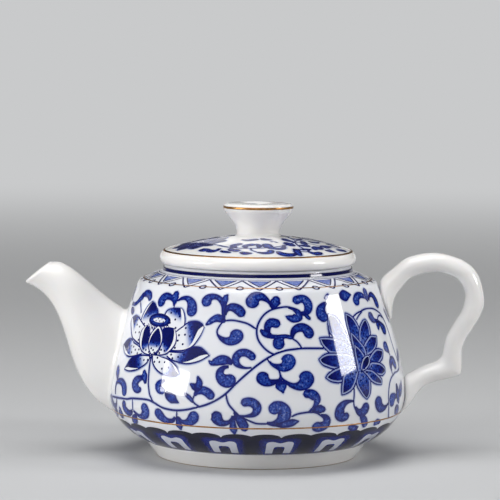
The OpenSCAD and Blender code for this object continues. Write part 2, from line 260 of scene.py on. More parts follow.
def turned(name, profile, sides=192, closed=True):
    """A profile of radius and height turned round the axis: x = r sin a, y = -r cos a, z = h.
    A closed profile runs counter-clockwise seen with the radius to the right, so that the
    faces point outwards; points on the axis become one."""
    profile = np.asarray(profile, float)
    a = np.linspace(0, 2 * np.pi, sides, endpoint=False)
    r, h = profile[:, 0][:, None], profile[:, 1][:, None]
    points = np.stack([r * np.sin(a), -r * np.cos(a), h + 0 * a], -1)
    rings = len(profile)
    faces = grid_faces(rings, sides, wrap_rows=closed, wrap_columns=True)
    ring_of = np.arange(rings * sides) // sides
    pole = (profile[:, 0] < 1e-6)[ring_of]
    index = np.where(pole, ring_of * sides, np.arange(rings * sides))
    faces = index[faces]
    # A face at a pole has a corner twice in a row, and is a triangle without it
    twice = faces == np.roll(faces, 1, axis=1)
    used = np.unique(index)
    place = np.zeros(rings * sides, int)
    place[used] = np.arange(len(used))
    groups = [place[faces[twice.sum(1) == 0]]]
    at_pole = twice.sum(1) == 1
    if at_pole.any():
        groups.append(place[faces[at_pole][~twice[at_pole]].reshape(-1, 3)])
    return put_mesh(name, points.reshape(-1, 3)[used], groups)


# ---- the faces that pieces and paint lie on ---------------------------------------------------

def neck_foot(s):
    """Height where the shoulder ends and the neck begins."""
    return s.neck_top - 2.2


def lid_edge(s):
    """Radius and height where the lid's round rim ends and its dome begins."""
    return s.lid_r - 1.6, s.lid_z + 5


class PotFace:
    """The pot's outer face from the foot to the neck, as a function of azimuth in degrees,
    counted from -Y towards +X, and height in mm."""

    def __init__(self, s):
        bowl = curve([[s.foot_top_r, s.foot_h], [s.foot_top_r + 5, s.foot_h + 2],
                      [s.belly_r - 1, s.belly_z - 9.7], [s.belly_r, s.belly_z]], 60)
        wall = curve([[s.belly_r, s.belly_z], [s.belly_r, s.belly_z + 11],
                      [s.shoulder_r + 7, s.shoulder_z - 19.1],
                      [s.shoulder_r, s.shoulder_z]], 90)
        collar = [s.neck_r, neck_foot(s)]
        self.line = softened(np.concatenate([bowl, wall[1:], [collar]]), 0.9, 0.4)
        along = unit(np.gradient(self.line, axis=0))
        self.normal = np.stack([along[:, 1], -along[:, 0]], 1)

    def r(self, z):
        """Radius of the face at a height."""
        return np.interp(z, self.line[:, 1], self.line[:, 0])

    def normals(self, chart):
        """Outward normal: (nr sin a, -nr cos a, nz) with nr, nz from the outline's own."""
        a, z = np.radians(chart[..., 0]), chart[..., 1]
        nr = np.interp(z, self.line[:, 1], self.normal[:, 0])
        nz = np.interp(z, self.line[:, 1], self.normal[:, 1])
        return unit(np.stack([nr * np.sin(a), -nr * np.cos(a), nz], -1))

    def at(self, chart, lift=0.0):
        """Point of the face, lifted off it along its normal: (r sin a, -r cos a, z)."""
        a, z = np.radians(chart[..., 0]), chart[..., 1]
        r = self.r(z)
        face = np.stack([r * np.sin(a), -r * np.cos(a), z], -1)
        return face + np.asarray(lift)[..., None] * self.normals(chart)

    def chart(self, p):
        """Azimuth and height of the face next to a point."""
        return np.stack([np.degrees(np.arctan2(p[..., 0], -p[..., 1])), p[..., 2]], -1)


class LidFace:
    """The lid's dome as a function of x and y in mm, seen from above."""

    def __init__(self, s):
        self.line = dome_line(s)[::-1]
        along = unit(np.gradient(self.line, axis=0))
        self.normal = np.stack([-along[:, 1], along[:, 0]], 1)

    def normals(self, chart):
        """Outward normal: (nr x / r, nr y / r, nz) with nr, nz from the outline's own."""
        r = np.maximum(np.hypot(chart[..., 0], chart[..., 1]), 1e-6)
        nr = np.interp(r, self.line[:, 0], self.normal[:, 0])
        nz = np.interp(r, self.line[:, 0], self.normal[:, 1])
        return unit(np.stack([nr * chart[..., 0] / r, nr * chart[..., 1] / r, nz], -1))

    def at(self, chart, lift=0.0):
        """Point of the dome over x, y, lifted off it along its normal."""
        r = np.hypot(chart[..., 0], chart[..., 1])
        z = np.interp(r, self.line[:, 0], self.line[:, 1])
        face = np.concatenate([chart, z[..., None]], -1)
        return face + np.asarray(lift)[..., None] * self.normals(chart)

    def chart(self, p):
        """x and y of the dome next to a point."""
        return p[..., :2]


def dome_line(s):
    """The lid's outline from the gold line up to the knob's foot."""
    edge_r, edge_z = lid_edge(s)
    rise = s.knob_z - edge_z
    return curve([[edge_r, edge_z], [edge_r - 7.3, edge_z + 0.48 * rise],
                  [KNOB_FOOT_R + 9, s.knob_z - 0.18 * rise], [KNOB_FOOT_R, s.knob_z]], 60)


# ---- materials --------------------------------------------------------------------------------

def new_material(name):
    """A material with no nodes yet."""
    material = bpy.data.materials.new(name)
    material.use_nodes = True
    material.node_tree.nodes.clear()
    return material


def add_node(material, kind, links=None, **settings):
    """Adds a node. Settings named after a socket set its value, others set the node's own
    properties; links is {socket of this node: (other node, its output)}."""
    node = material.node_tree.nodes.new(kind)
    for key, value in settings.items():
        socket = key.replace("_", " ")
        found = [i for i in node.inputs if i.name.lower() == socket.lower() and i.enabled]
        if not hasattr(node, key) and found:
            found[0].default_value = value
        else:
            setattr(node, key, value)
    for socket, (other, output) in (links or {}).items():
        target = node.inputs[socket]
        material.node_tree.links.new(other.outputs[output], target)
    return node


def noise(material, place, size, detail, roughness=0.5):
    """Noise whose waves are size mm apart; Object coordinates are metres."""
    return add_node(material, "ShaderNodeTexNoise", {"Vector": (place, "Object")},
                    Scale=1 / (size * MM), Detail=detail, Roughness=roughness)


def glaze_bump(material):
    """The glaze pools and thins in wide, low waves as it runs in the kiln. Returns the place
    that patterns read as well as the bump."""
    place = add_node(material, "ShaderNodeTexCoord")
    waves = noise(material, place, 14.3, 1.0, 0.4)
    return place, add_node(material, "ShaderNodeBump", {"Height": (waves, "Fac")},
                           Strength=0.12, Distance=0.0006)


def glazed_porcelain(name, colour_name="porcelain"):
    """Hard-paste porcelain, cast and fired with a clear feldspar glaze: a cool, faintly
    translucent white under a mirror-smooth glass layer."""
    material = new_material(name)
    place, bump = glaze_bump(material)
    # The firing leaves it faintly warmer in wide patches
    tint = noise(material, place, 45.5, 2.0)
    base = paint_of(colour_name)
    warm = tuple(c * k for c, k in zip(base, (1.0, 0.985, 0.965, 1.0)))
    mixed = add_node(material, "ShaderNodeMix", {"Factor": (tint, "Fac")}, data_type="RGBA")
    # Sockets 6 and 7 are the two colours of a colour mix, output 2 their mixture
    mixed.inputs[6].default_value, mixed.inputs[7].default_value = base, warm
    shader = add_node(material, "ShaderNodeBsdfPrincipled",
                      {"Base Color": (mixed, 2), "Normal": (bump, "Normal")},
                      Roughness=0.06, IOR=1.52, Subsurface_Weight=0.12, Subsurface_Scale=0.002,
                      Subsurface_Radius=(1.0, 0.8, 0.6))
    add_node(material, "ShaderNodeOutputMaterial", {"Surface": (shader, "BSDF")})
    return material


def bare_biscuit():
    """Porcelain wiped clean of glaze before the firing: dry, fine-grained and toasted brown."""
    material = new_material("bare_biscuit")
    shader = add_node(material, "ShaderNodeBsdfPrincipled", Base_Color=paint_of("biscuit"),
                      Roughness=0.75)
    add_node(material, "ShaderNodeOutputMaterial", {"Surface": (shader, "BSDF")})
    return material


def fired_gold():
    """Bright gold painted over the glaze and fired: thin, so the brush leaves it a little
    uneven and coppery."""
    material = new_material("fired_bright_gold")
    place = add_node(material, "ShaderNodeTexCoord")
    # The brush leaves it thin in specks of about a millimetre
    streak = noise(material, place, 1.11, 2.0)
    ramp = add_node(material, "ShaderNodeValToRGB", {"Fac": (streak, "Fac")})
    gold = paint_of("gold")
    ramp.color_ramp.elements[0].position, ramp.color_ramp.elements[1].position = 0.35, 0.65
    ramp.color_ramp.elements[0].color = tuple(c * k for c, k in zip(gold, (0.7, 0.62, 0.55, 1)))
    ramp.color_ramp.elements[1].color = gold
    shader = add_node(material, "ShaderNodeBsdfPrincipled", {"Base Color": (ramp, "Color")},
                      Metallic=1.0, Roughness=0.28)
    add_node(material, "ShaderNodeOutputMaterial", {"Surface": (shader, "BSDF")})
    return material


MATERIALS = {}


def material_of(kind):
    """The material of that kind, made the first time it is asked for."""
    makers = {"porcelain": lambda: glazed_porcelain("glazed_porcelain"),
              # The glaze blued by the cobalt, and darker as painted shade on the upturned wall
              "painted": lambda: glazed_porcelain("painted_porcelain", "painted"),
              "gold": fired_gold, "biscuit": bare_biscuit, "cobalt": cobalt_underglaze}
    if kind not in MATERIALS:
        MATERIALS[kind] = makers[kind]()
    return MATERIALS[kind]


# ---- porcelain shapes -------------------------------------------------------------------------

def cut_with(piece, cutter):
    """Takes the cutter out of the piece's mesh and removes the cutter."""
    modifier = piece.modifiers.new("cut", "BOOLEAN")
    modifier.operation, modifier.solver, modifier.object = "DIFFERENCE", "EXACT", cutter
    graph = bpy.context.evaluated_depsgraph_get()
    mesh = bpy.data.meshes.new_from_object(piece.evaluated_get(graph))
    piece.modifiers.clear()
    piece.data = mesh
    bpy.data.objects.remove(cutter)
    mesh.shade_smooth()


def rods(name, centres, radius, start, end, along, sides=20):
    """Round rods side by side: circles about each centre, carried from start to end, and
    each end closed by a fan of triangles."""
    a = np.linspace(0, 2 * np.pi, sides, endpoint=False)
    circle = radius * np.stack([np.cos(a), np.sin(a)], 1)
    points, faces, count = [], [], 0
    for centre in centres:
        for depth in (start, end):
            flat = circle + centre
            column = np.full((sides, 1), depth)
            points.append(np.hstack([column, flat]) if along == "X"
                          else np.hstack([flat, column]))
        faces.append(grid_faces(2, sides, wrap_columns=True, start=count))
        for ring, turn in ((0, -1), (1, 1)):
            ids = (np.arange(sides) + count + ring * sides)[::turn]
            faces.append(np.stack([np.full(sides - 2, ids[0]), ids[1:-1], ids[2:]], 1))
        count += 2 * sides
    return put_mesh(name, np.concatenate(points), faces)


def pot_profile(s, face):
    """Outline of bowl and wall from axis to axis: the underside, the outer face, and the inside
    from the neck down to the floor."""
    outer = face.line
    inner = inset(outer, s.wall_t)
    bore = s.neck_r - s.neck_w
    inner = inner[(inner[:, 1] < s.shoulder_z - 2.0) | (inner[:, 0] > bore + 1)]
    collar = [[s.neck_r - 1.0, outer[-1, 1] + 0.5], [bore + 0.5, outer[-1, 1] + 0.2]]
    back = spaced(np.concatenate([[inner[-1]], inner[::-1]]), 1.2)
    floor = [[r, back[-1, 1]] for r in np.linspace(back[-1, 0], 0, 14)[1:]]
    under = [[r, s.foot_h] for r in np.linspace(0, s.foot_top_r, 14)[:-1]]
    return np.concatenate([under, spaced(outer, 0.9), collar, back, floor])


class TEAPOT_OT_pot(bpy.types.Operator):
    """The pot itself: low bowl, sloping wall, shoulder and floor, with the strainer's holes"""
    bl_idname = "teapot.pot"
    bl_label = "Pot"

    def execute(self, context):
        s = sizes()
        pot = turned("pot_body", pot_profile(s, PotFace(s)), 200)
        # 19 strainer holes in a hexagon behind the spout: rows of 3, 4, 5, 4 and 3
        pitch, drill_r, middle_z, centres = 4.2, 1.4, 33, []
        for row in range(-2, 3):
            count = 5 - abs(row)
            z = middle_z + row * pitch * math.sin(math.pi / 3)
            centres += [((i - (count - 1) / 2) * pitch, z) for i in range(count)]
        cut_with(pot, rods("strainer_drill", np.array(centres), drill_r, -62, -44, "X"))
        finished(pot, "pot", "painted_porcelain", material_of("painted"),
                 "pot_bowl", "pot_wall")
        return {"FINISHED"}


class TEAPOT_OT_foot(bpy.types.Operator):
    """The foot ring, with its unglazed edge"""
    bl_idname = "teapot.foot"
    bl_label = "Foot ring"

    def execute(self, context):
        s = sizes()
        inner = s.foot_base_r - s.foot_w
        line = np.concatenate([
            [[s.foot_top_r + 1.2, s.foot_h + 0.5], [s.foot_top_r, s.foot_h - 0.1],
             [inner - 0.6, s.foot_h + 0.3]],
            arc([inner + 0.5, 0.55], 0.5, 180, 270),
            arc([s.foot_base_r - 0.5, 0.55], 0.5, 270, 350)])
        line = softened(np.concatenate([line, line[:1]]), 0.2, 0.3)[:-1]
        foot = turned("foot_ring_glazed", line)
        finished(foot, "pot", "white_porcelain", material_of("porcelain"), "foot_ring")
        line = np.array([[inner + 0.1, 0.45], [inner + 0.35, 0], [s.foot_base_r - 0.35, 0],
                         [s.foot_base_r - 0.02, 0.5]])
        edge = turned("foot_edge_unglazed", closed_loop(line, 0.4))
        finished(edge, "pot", "white_porcelain", material_of("biscuit"))
        return {"FINISHED"}


class TEAPOT_OT_neck(bpy.types.Operator):
    """The short neck that the lid sits in"""
    bl_idname = "teapot.neck"
    bl_label = "Neck"

    def execute(self, context):
        s = sizes()
        bore, low = s.neck_r - s.neck_w, neck_foot(s)
        line = np.concatenate([
            [[bore, low - 3.0], [s.neck_r - 1.5, low - 2.0], [s.neck_r + 0.9, low - 0.35],
             [s.neck_r + 0.15, low + 0.25], [s.neck_r, low + 0.7]],
            arc([s.neck_r - 1.1, s.neck_top - 0.8], 0.8, 0, 90),
            arc([bore + 0.8, s.neck_top - 0.8], 0.8, 90, 180)])
        neck = turned("neck_glazed", closed_loop(line, 0.4))
        finished(neck, "pot", "painted_porcelain", material_of("painted"), "neck_ring")
        return {"FINISHED"}


def where_outside(face, at, start, end):
    """Where each line at(t) leaves the pot's wall, by halving 26 times between start, inside
    the wall, and end, outside it. Works on an array of lines at once."""
    low, high = np.array(start, float), np.array(end, float)
    for _ in range(26):
        mid = (low + high) / 2
        p = at(mid)
        out = np.hypot(p[..., 0], p[..., 1]) > face.r(p[..., 2])
        low, high = np.where(out, low, mid), np.where(out, mid, high)
    return (low + high) / 2


def flared(face, skin, fillet):
    """Spreads the rings of a skin that starts on the wall, so that it runs into the wall in
    a round fillet: a ring at depth d along the skin moves out by f - sqrt(f^2 - (f - d)^2).
    The skin's first axis is the ring, its second goes round."""
    run = np.concatenate([np.zeros((1, skin.shape[1])),
                          np.cumsum(np.linalg.norm(np.diff(skin, axis=0), axis=2), 0)])
    around = unit(np.roll(skin, -1, 1) - np.roll(skin, 1, 1))
    wall_out = face.normals(face.chart(skin[:1])) * np.ones_like(skin)
    spread = unit(np.cross(wall_out, around))
    middle = skin.mean(1, keepdims=True)
    spread = spread * np.sign(np.sum(spread * (skin - middle), -1).mean())
    depth = np.clip(run / fillet, 0, 1)
    move = fillet * (1 - np.sqrt(np.clip(1 - (1 - depth)**2, 0, 1)))
    out = skin + move[..., None] * spread
    out[:1] = face.at(face.chart(out[:1]), -0.03)
    return out


class Spout:
    """The spout as a skin of t, from the root at 0 to the mouth at 1, and angle a. Each
    section is an ellipse between the upper and the lower edge of the side view."""

    WALL = 2.0
    TILT = math.radians(38.5)           # of the mouth, up from level
    LIP_DROP = 7.7                      # from the neck's top to the mouth's lower edge
    ROOT_TOP, ROOT_LOW = 51.4, 13.8     # heights where the edges enter the wall
    ROOT_W = 26.0

    def __init__(self, s, face):
        self.up = np.array([math.cos(self.TILT), math.sin(self.TILT)])
        span = s.spout_tip - s.belly_r
        low_lip = np.array([-s.spout_tip, s.neck_top - self.LIP_DROP])
        top_lip = low_lip + 1.07 * s.mouth_w * self.up
        top = np.array([1.5 * s.wall_t - face.r(self.ROOT_TOP), self.ROOT_TOP])
        low = np.array([0.7 * s.wall_t - face.r(self.ROOT_LOW), self.ROOT_LOW])
        self.back = [top, top + span * np.array([-0.39, 0.12]),
                     top_lip + span * np.array([0.24, 0.058]), top_lip]
        self.belly = [low, low + span * np.array([-0.867, 0.321]),
                      low_lip + span * np.array([0.673, -0.24]), low_lip]
        self.widths = [[self.ROOT_W], [0.96 * self.ROOT_W], [1.26 * s.mouth_w], [s.mouth_w]]

    def at(self, t, a, thin=0.0):
        """middle + (half height - thin) cos(a) up the section + (half width - thin) sin(a)
        across the pot."""
        top, low = on_curve(self.back, t), on_curve(self.belly, t)
        gap = top - low
        size = np.linalg.norm(gap, axis=-1)
        side = (top + low) / 2 + ((size / 2 - thin) * np.cos(a) / size)[..., None] * gap
        across = (on_curve(self.widths, t)[..., 0] / 2 - thin) * np.sin(a)
        return np.stack([side[..., 0], across, side[..., 1]], -1)


class TEAPOT_OT_spout(bpy.types.Operator):
    """The spout, luted to the wall over the strainer, with its round lip"""
    bl_idname = "teapot.spout"
    bl_label = "Spout"

    def execute(self, context):
        s = sizes()
        face = PotFace(s)
        spout = Spout(s, face)
        sides = 96
        a = np.linspace(0, 2 * np.pi, sides, endpoint=False)

        def skin(thin, shares):
            """Rings of the skin, thin inside its outer face, at those shares of its length."""
            start = where_outside(face, lambda t: spout.at(t, a, thin), 0 * a, 0 * a + 0.6)
            t = start + (1 - start) * shares[:, None]
            return spout.at(t, a + 0 * t, thin)

        shares = np.concatenate([0.06 * np.linspace(0, 1, 9)[:-1]**1.5,
                                 np.linspace(0.06, 1, 60)])
        fillet, round_out = 1.8, 0.7
        outer = flared(face, skin(0.0, shares), fillet)
        inner = skin(Spout.WALL, np.linspace(1, 0, 30))
        inner[-1:] = face.at(face.chart(inner[-1:]), -0.05)
        # The lip bulges by round_out sin(pi k)^0.6 between the outer skin and the inner one
        out = np.array([-spout.up[1], 0, spout.up[0]])
        lip = [outer[-1:] * (1 - k) + inner[:1] * k + round_out * math.sin(math.pi * k)**0.6 * out
               for k in np.linspace(0, 1, 9)[1:-1]]
        rings = np.concatenate([outer, *lip, inner])
        faces = grid_faces(len(rings), sides, wrap_rows=True, wrap_columns=True)
        piece = put_mesh("spout_glazed", rings, faces)
        finished(piece, "pot", "white_porcelain", material_of("porcelain"), "spout")
        return {"FINISHED"}


class Handle:
    """The handle as a skin of t, from its upper root at 0 to its lower root at last, and
    angle a. Each section is an ellipse between the inner and the outer edge of the side view."""

    UPPER_ROOT_W, LOWER_ROOT_W = 13.0, 12.0
    ROOT_STEP = 7.1     # out from the wall, for a distance d of 1

    def __init__(self, s, face):
        body_h = s.shoulder_z - s.foot_h

        def wall(d, v):
            """A place d steps out from the wall, at the share v of the body's height."""
            z = s.foot_h + v * body_h
            return [face.r(z) + d * self.ROOT_STEP, z]

        def grip(k, v):
            """A place at the share k of the way from the shoulder to the handle's reach."""
            return [s.shoulder_r + k * (s.handle_out - s.shoulder_r), s.foot_h + v * body_h]

        # Inner edge, outer edge, and how much of the root's extra width the section has
        stations = [
            [wall(-0.4, 0.70), wall(-0.55, 0.93), 1], [wall(0.03, 0.745), wall(0, 0.972), 1],
            [grip(0.162, 0.875), grip(0.06, 1.022), 0.55],
            [grip(0.225, 0.95), grip(0.145, 1.073), 0.2],
            [grip(0.335, 1.025), grip(0.292, 1.146), 0],
            [grip(0.535, 1.058), grip(0.535, 1.176), 0],
            [grip(0.712, 1.029), grip(0.785, 1.135), 0],
            [grip(0.795, 0.975), grip(0.935, 1.047), 0],
            [grip(0.822, 0.905), grip(1, 0.893), 0], [grip(0.795, 0.82), grip(0.97, 0.793), 0],
            [grip(0.725, 0.745), grip(0.892, 0.705), 0],
            [grip(0.655, 0.655), grip(0.832, 0.635), 0],
            [grip(0.628, 0.575), grip(0.802, 0.57), 0],
            [grip(0.61, 0.53), grip(0.798, 0.44), 0],
            [grip(0.56, 0.5), grip(0.745, 0.405), 0],
            [grip(0.475, 0.478), grip(0.538, 0.37), 0.1],
            [grip(0.395, 0.455), grip(0.42, 0.322), 0.4],
            [wall(0.31, 0.425), wall(0.34, 0.22), 0.85],
            [wall(-0.03, 0.415), wall(-0.03, 0.145), 1],
            [wall(-0.55, 0.39), wall(-0.4, 0.12), 1]]
        self.inner = [station[0] for station in stations]
        self.outer = [station[1] for station in stations]
        self.share = [[station[2]] for station in stations]
        self.last = len(stations) - 1
        self.grip_w = s.grip_w

    def at(self, t, a):
        """middle + half thickness cos(a) up the section + half width sin(a) across."""
        low, high = through(self.inner, t), through(self.outer, t)
        root = np.where(t < self.last / 2, self.UPPER_ROOT_W, self.LOWER_ROOT_W)
        share = np.maximum(0, through(self.share, t)[..., 0])
        width = (self.grip_w + (root - self.grip_w) * share) / 2
        side = (low + high) / 2 + 0.5 * np.cos(a)[..., None] * (high - low)
        return np.stack([side[..., 0], width * np.sin(a), side[..., 1]], -1)


class TEAPOT_OT_handle(bpy.types.Operator):
    """The ear-shaped handle with its pinched waist, luted on at both ends"""
    bl_idname = "teapot.handle"
    bl_label = "Handle"

    def execute(self, context):
        s = sizes()
        face = PotFace(s)
        handle = Handle(s, face)
        last, sides, fillet = handle.last, 64, 2.2
        a = np.linspace(0, 2 * np.pi, sides, endpoint=False)

        def at(t):
            """The handle's skin with its angles filled in."""
            return handle.at(t, a)

        # From where each line leaves the wall to station 2, and likewise at the other end
        first = where_outside(face, at, 0 * a, 0 * a + 2)
        end = where_outside(face, at, 0 * a + last, 0 * a + last - 2)
        top = first + (2 - first) * np.linspace(0, 1, 13)[:-1, None]
        between = 2 + np.linspace(0, 1, 221)[:, None] * (last - 4) + 0 * a
        foot = end + (last - 2 - end) * np.linspace(1, 0, 13)[1:, None]
        skin = flared(face, at(np.concatenate([top, between, foot])), fillet)
        skin = flared(face, skin[::-1], fillet)[::-1]
        # Each end is closed by triangles from its ring to its middle, inside the wall
        rings = len(skin)
        middles = np.stack([skin[0].mean(0), skin[-1].mean(0)])
        points = np.concatenate([skin.reshape(-1, 3), middles])
        j = np.arange(sides)
        k = (j + 1) % sides
        far = (rings - 1) * sides
        caps = [np.stack([np.full(sides, rings * sides), j, k], 1),
                np.stack([np.full(sides, rings * sides + 1), k + far, j + far], 1)]
        faces = [grid_faces(rings, sides, wrap_columns=True), *caps]
        piece = put_mesh("handle_glazed", points, faces)
        finished(piece, "pot", "white_porcelain", material_of("porcelain"), "handle")
        return {"FINISHED"}


class TEAPOT_OT_lid(bpy.types.Operator):
    """The lid: domed cover with its round rim and steam hole, hanging skirt and flared knob"""
    bl_idname = "teapot.lid"
    bl_label = "Lid"

    def execute(self, context):
        s = sizes()
        self.cover(s)
        self.skirt(s)
        self.knob(s)
        return {"FINISHED"}

    def skirt_radii(self, s):
        """Radius of the skirt's outside, 0.6 mm clear of the neck, and of its bore."""
        outside = s.neck_r - s.neck_w - 0.6
        return outside, outside - 2.4

    def cover(self, s):
        """Round rim, dome and the dome's underside 2.8 mm below it, with the steam hole."""
        edge_r, edge_z = lid_edge(s)
        rim = curve([[edge_r - 0.3, s.lid_z], [s.lid_r + 0.55, s.lid_z + 0.4],
                     [s.lid_r + 0.55, edge_z - 1.8], [edge_r, edge_z]], 40)
        dome = dome_line(s)
        bore = self.skirt_radii(s)[1]
        under = inset(dome, 2.8)
        under = under[under[:, 0] < bore - 0.6]
        outside = softened(np.concatenate([[[bore, s.lid_z]], rim, dome[1:],
                                           [[6.0, s.knob_z + 0.1]]]), 0.5, 0.4)
        line = np.concatenate([
            outside, [[0, s.knob_z]], [[0, under[-1, 1]]], spaced(under[::-1], 1.0),
            [[bore, under[0, 1] - 0.4]]])
        cover = turned("lid_cover_glazed", line)
        hole_place, hole_r = [0, 16.0], 1.2
        cut_with(cover, rods("steam_hole_drill", np.array([hole_place]), hole_r, s.lid_z,
                             s.knob_z + 2, "Z", 32))
        finished(cover, "lid", "painted_porcelain", material_of("porcelain"), "lid_cover")

    def skirt(self, s):
        """The ring that hangs 7 mm into the neck."""
        outside, bore = self.skirt_radii(s)
        low = s.lid_z - 7
        line = np.concatenate([[[outside + 0.6, s.lid_z + 0.3], [bore - 0.2, s.lid_z + 0.3]],
                               arc([bore + 1, low + 1], 1, 180, 270),
                               arc([outside - 1, low + 1], 1, 270, 360),
                               [[outside, s.lid_z - 0.8]]])
        skirt = turned("lid_skirt_glazed", closed_loop(line, 0.5))
        finished(skirt, "lid", "white_porcelain", material_of("porcelain"), "lid_skirt")

    def knob(self, s):
        """A waisted stem that flares to a round rim with a slightly hollow top."""
        high = s.knob_top - s.knob_z
        side = curve([[KNOB_FOOT_R, s.knob_z], [KNOB_FOOT_R - 0.8, s.knob_z + 0.24 * high],
                      [s.knob_r - 1.7, s.knob_z + 0.57 * high], [s.knob_r, s.knob_top - 2.6]], 40)
        line = np.concatenate([
            [[0, s.knob_z - 0.4], [KNOB_FOOT_R + 1.2, s.knob_z - 0.35],
             [KNOB_FOOT_R + 0.5, s.knob_z + 0.1]],
            side[2:], arc([s.knob_r - 1, s.knob_top - 1.1], 1, 0, 90),
            [[s.knob_r - 3, s.knob_top - 0.1], [0, s.knob_top - 0.6]]])
        knob = turned("lid_knob_glazed", softened(line, 0.5, 0.35))
        finished(knob, "lid", "white_porcelain", material_of("porcelain"), "lid_knob")


def gold_band(place, normal, half=0.3, proud=0.1):
    """Section of a gold line across the surface at a place: a low band, proud (1 - k^4)
    above it, with k from -1 to 1 over its width, and its underside sunk by 0.06."""
    normal = unit(np.asarray(normal, float))
    along = np.array([-normal[1], normal[0]])
    k = np.linspace(-1, 1, 7)
    top = place + half * k[:, None] * along + (proud * (1 - k**4))[:, None] * normal
    foot = place + np.array([[half], [-half]]) * along - 0.06 * normal
    return np.concatenate([top, foot])[::-1]


class TEAPOT_OT_gold(bpy.types.Operator):
    """The gold lines: shoulder, belly, lid and knob"""
    bl_idname = "teapot.gold"
    bl_label = "Gold lines"

    def execute(self, context):
        s = sizes()
        face = PotFace(s)

        def on_pot(z):
            """Section of a gold line on the pot's face at that height."""
            n = [np.interp(z, face.line[:, 1], face.normal[:, k]) for k in (0, 1)]
            return gold_band(np.array([face.r(z), z]), n)

        shoulder_z, belly_z = s.shoulder_z + 0.75, 17.3
        ring = turned("shoulder_gold_line", on_pot(shoulder_z))
        finished(ring, "pot", "fired_gold", material_of("gold"), "shoulder_gilt")
        # The belly's line stops short of the spout, at 270 degrees, and of the handle, at 90
        section = on_pot(belly_z)
        parts, count, faces, steps = [], 0, [], 120
        for start, end in ((-82.8, 83.3), (96.7, 262.8)):
            a = np.radians(np.linspace(start, end, steps))[:, None]
            points = np.stack([section[:, 0] * np.sin(a), -section[:, 0] * np.cos(a),
                               section[:, 1] + 0 * a], -1)
            parts.append(points.reshape(-1, 3))
            faces.append(grid_faces(steps, len(section), wrap_columns=True, start=count)[:, ::-1])
            count += steps * len(section)
        arcs = put_mesh("belly_gold_line", np.concatenate(parts), faces)
        finished(arcs, "pot", "fired_gold", material_of("gold"), "belly_gilt")
        edge = np.array(lid_edge(s)) + [-0.05, -0.02]
        ring = turned("lid_gold_line", gold_band(edge, [0.55, 1], 0.42))
        finished(ring, "lid", "fired_gold", material_of("gold"), "lid_gilt")
        widest = np.array([s.knob_r, s.knob_top - 1.5])
        ring = turned("knob_gold_line", gold_band(widest, [1, 0], 0.42))
        finished(ring, "lid", "fired_gold", material_of("gold"), "knob_gilt")
        return {"FINISHED"}


# ---- underglaze painting ----------------------------------------------------------------------

LIFT = 0.03     # coat 0 above the porcelain, mm; the bleeds lie a little under it
LAYER = 0.007   # each coat above the one under it, mm
BLEED = 0.7     # how far the cobalt of a stroke runs into the glaze round it, mm
OUTLINE = 0.86  # strength of the cobalt in an outline


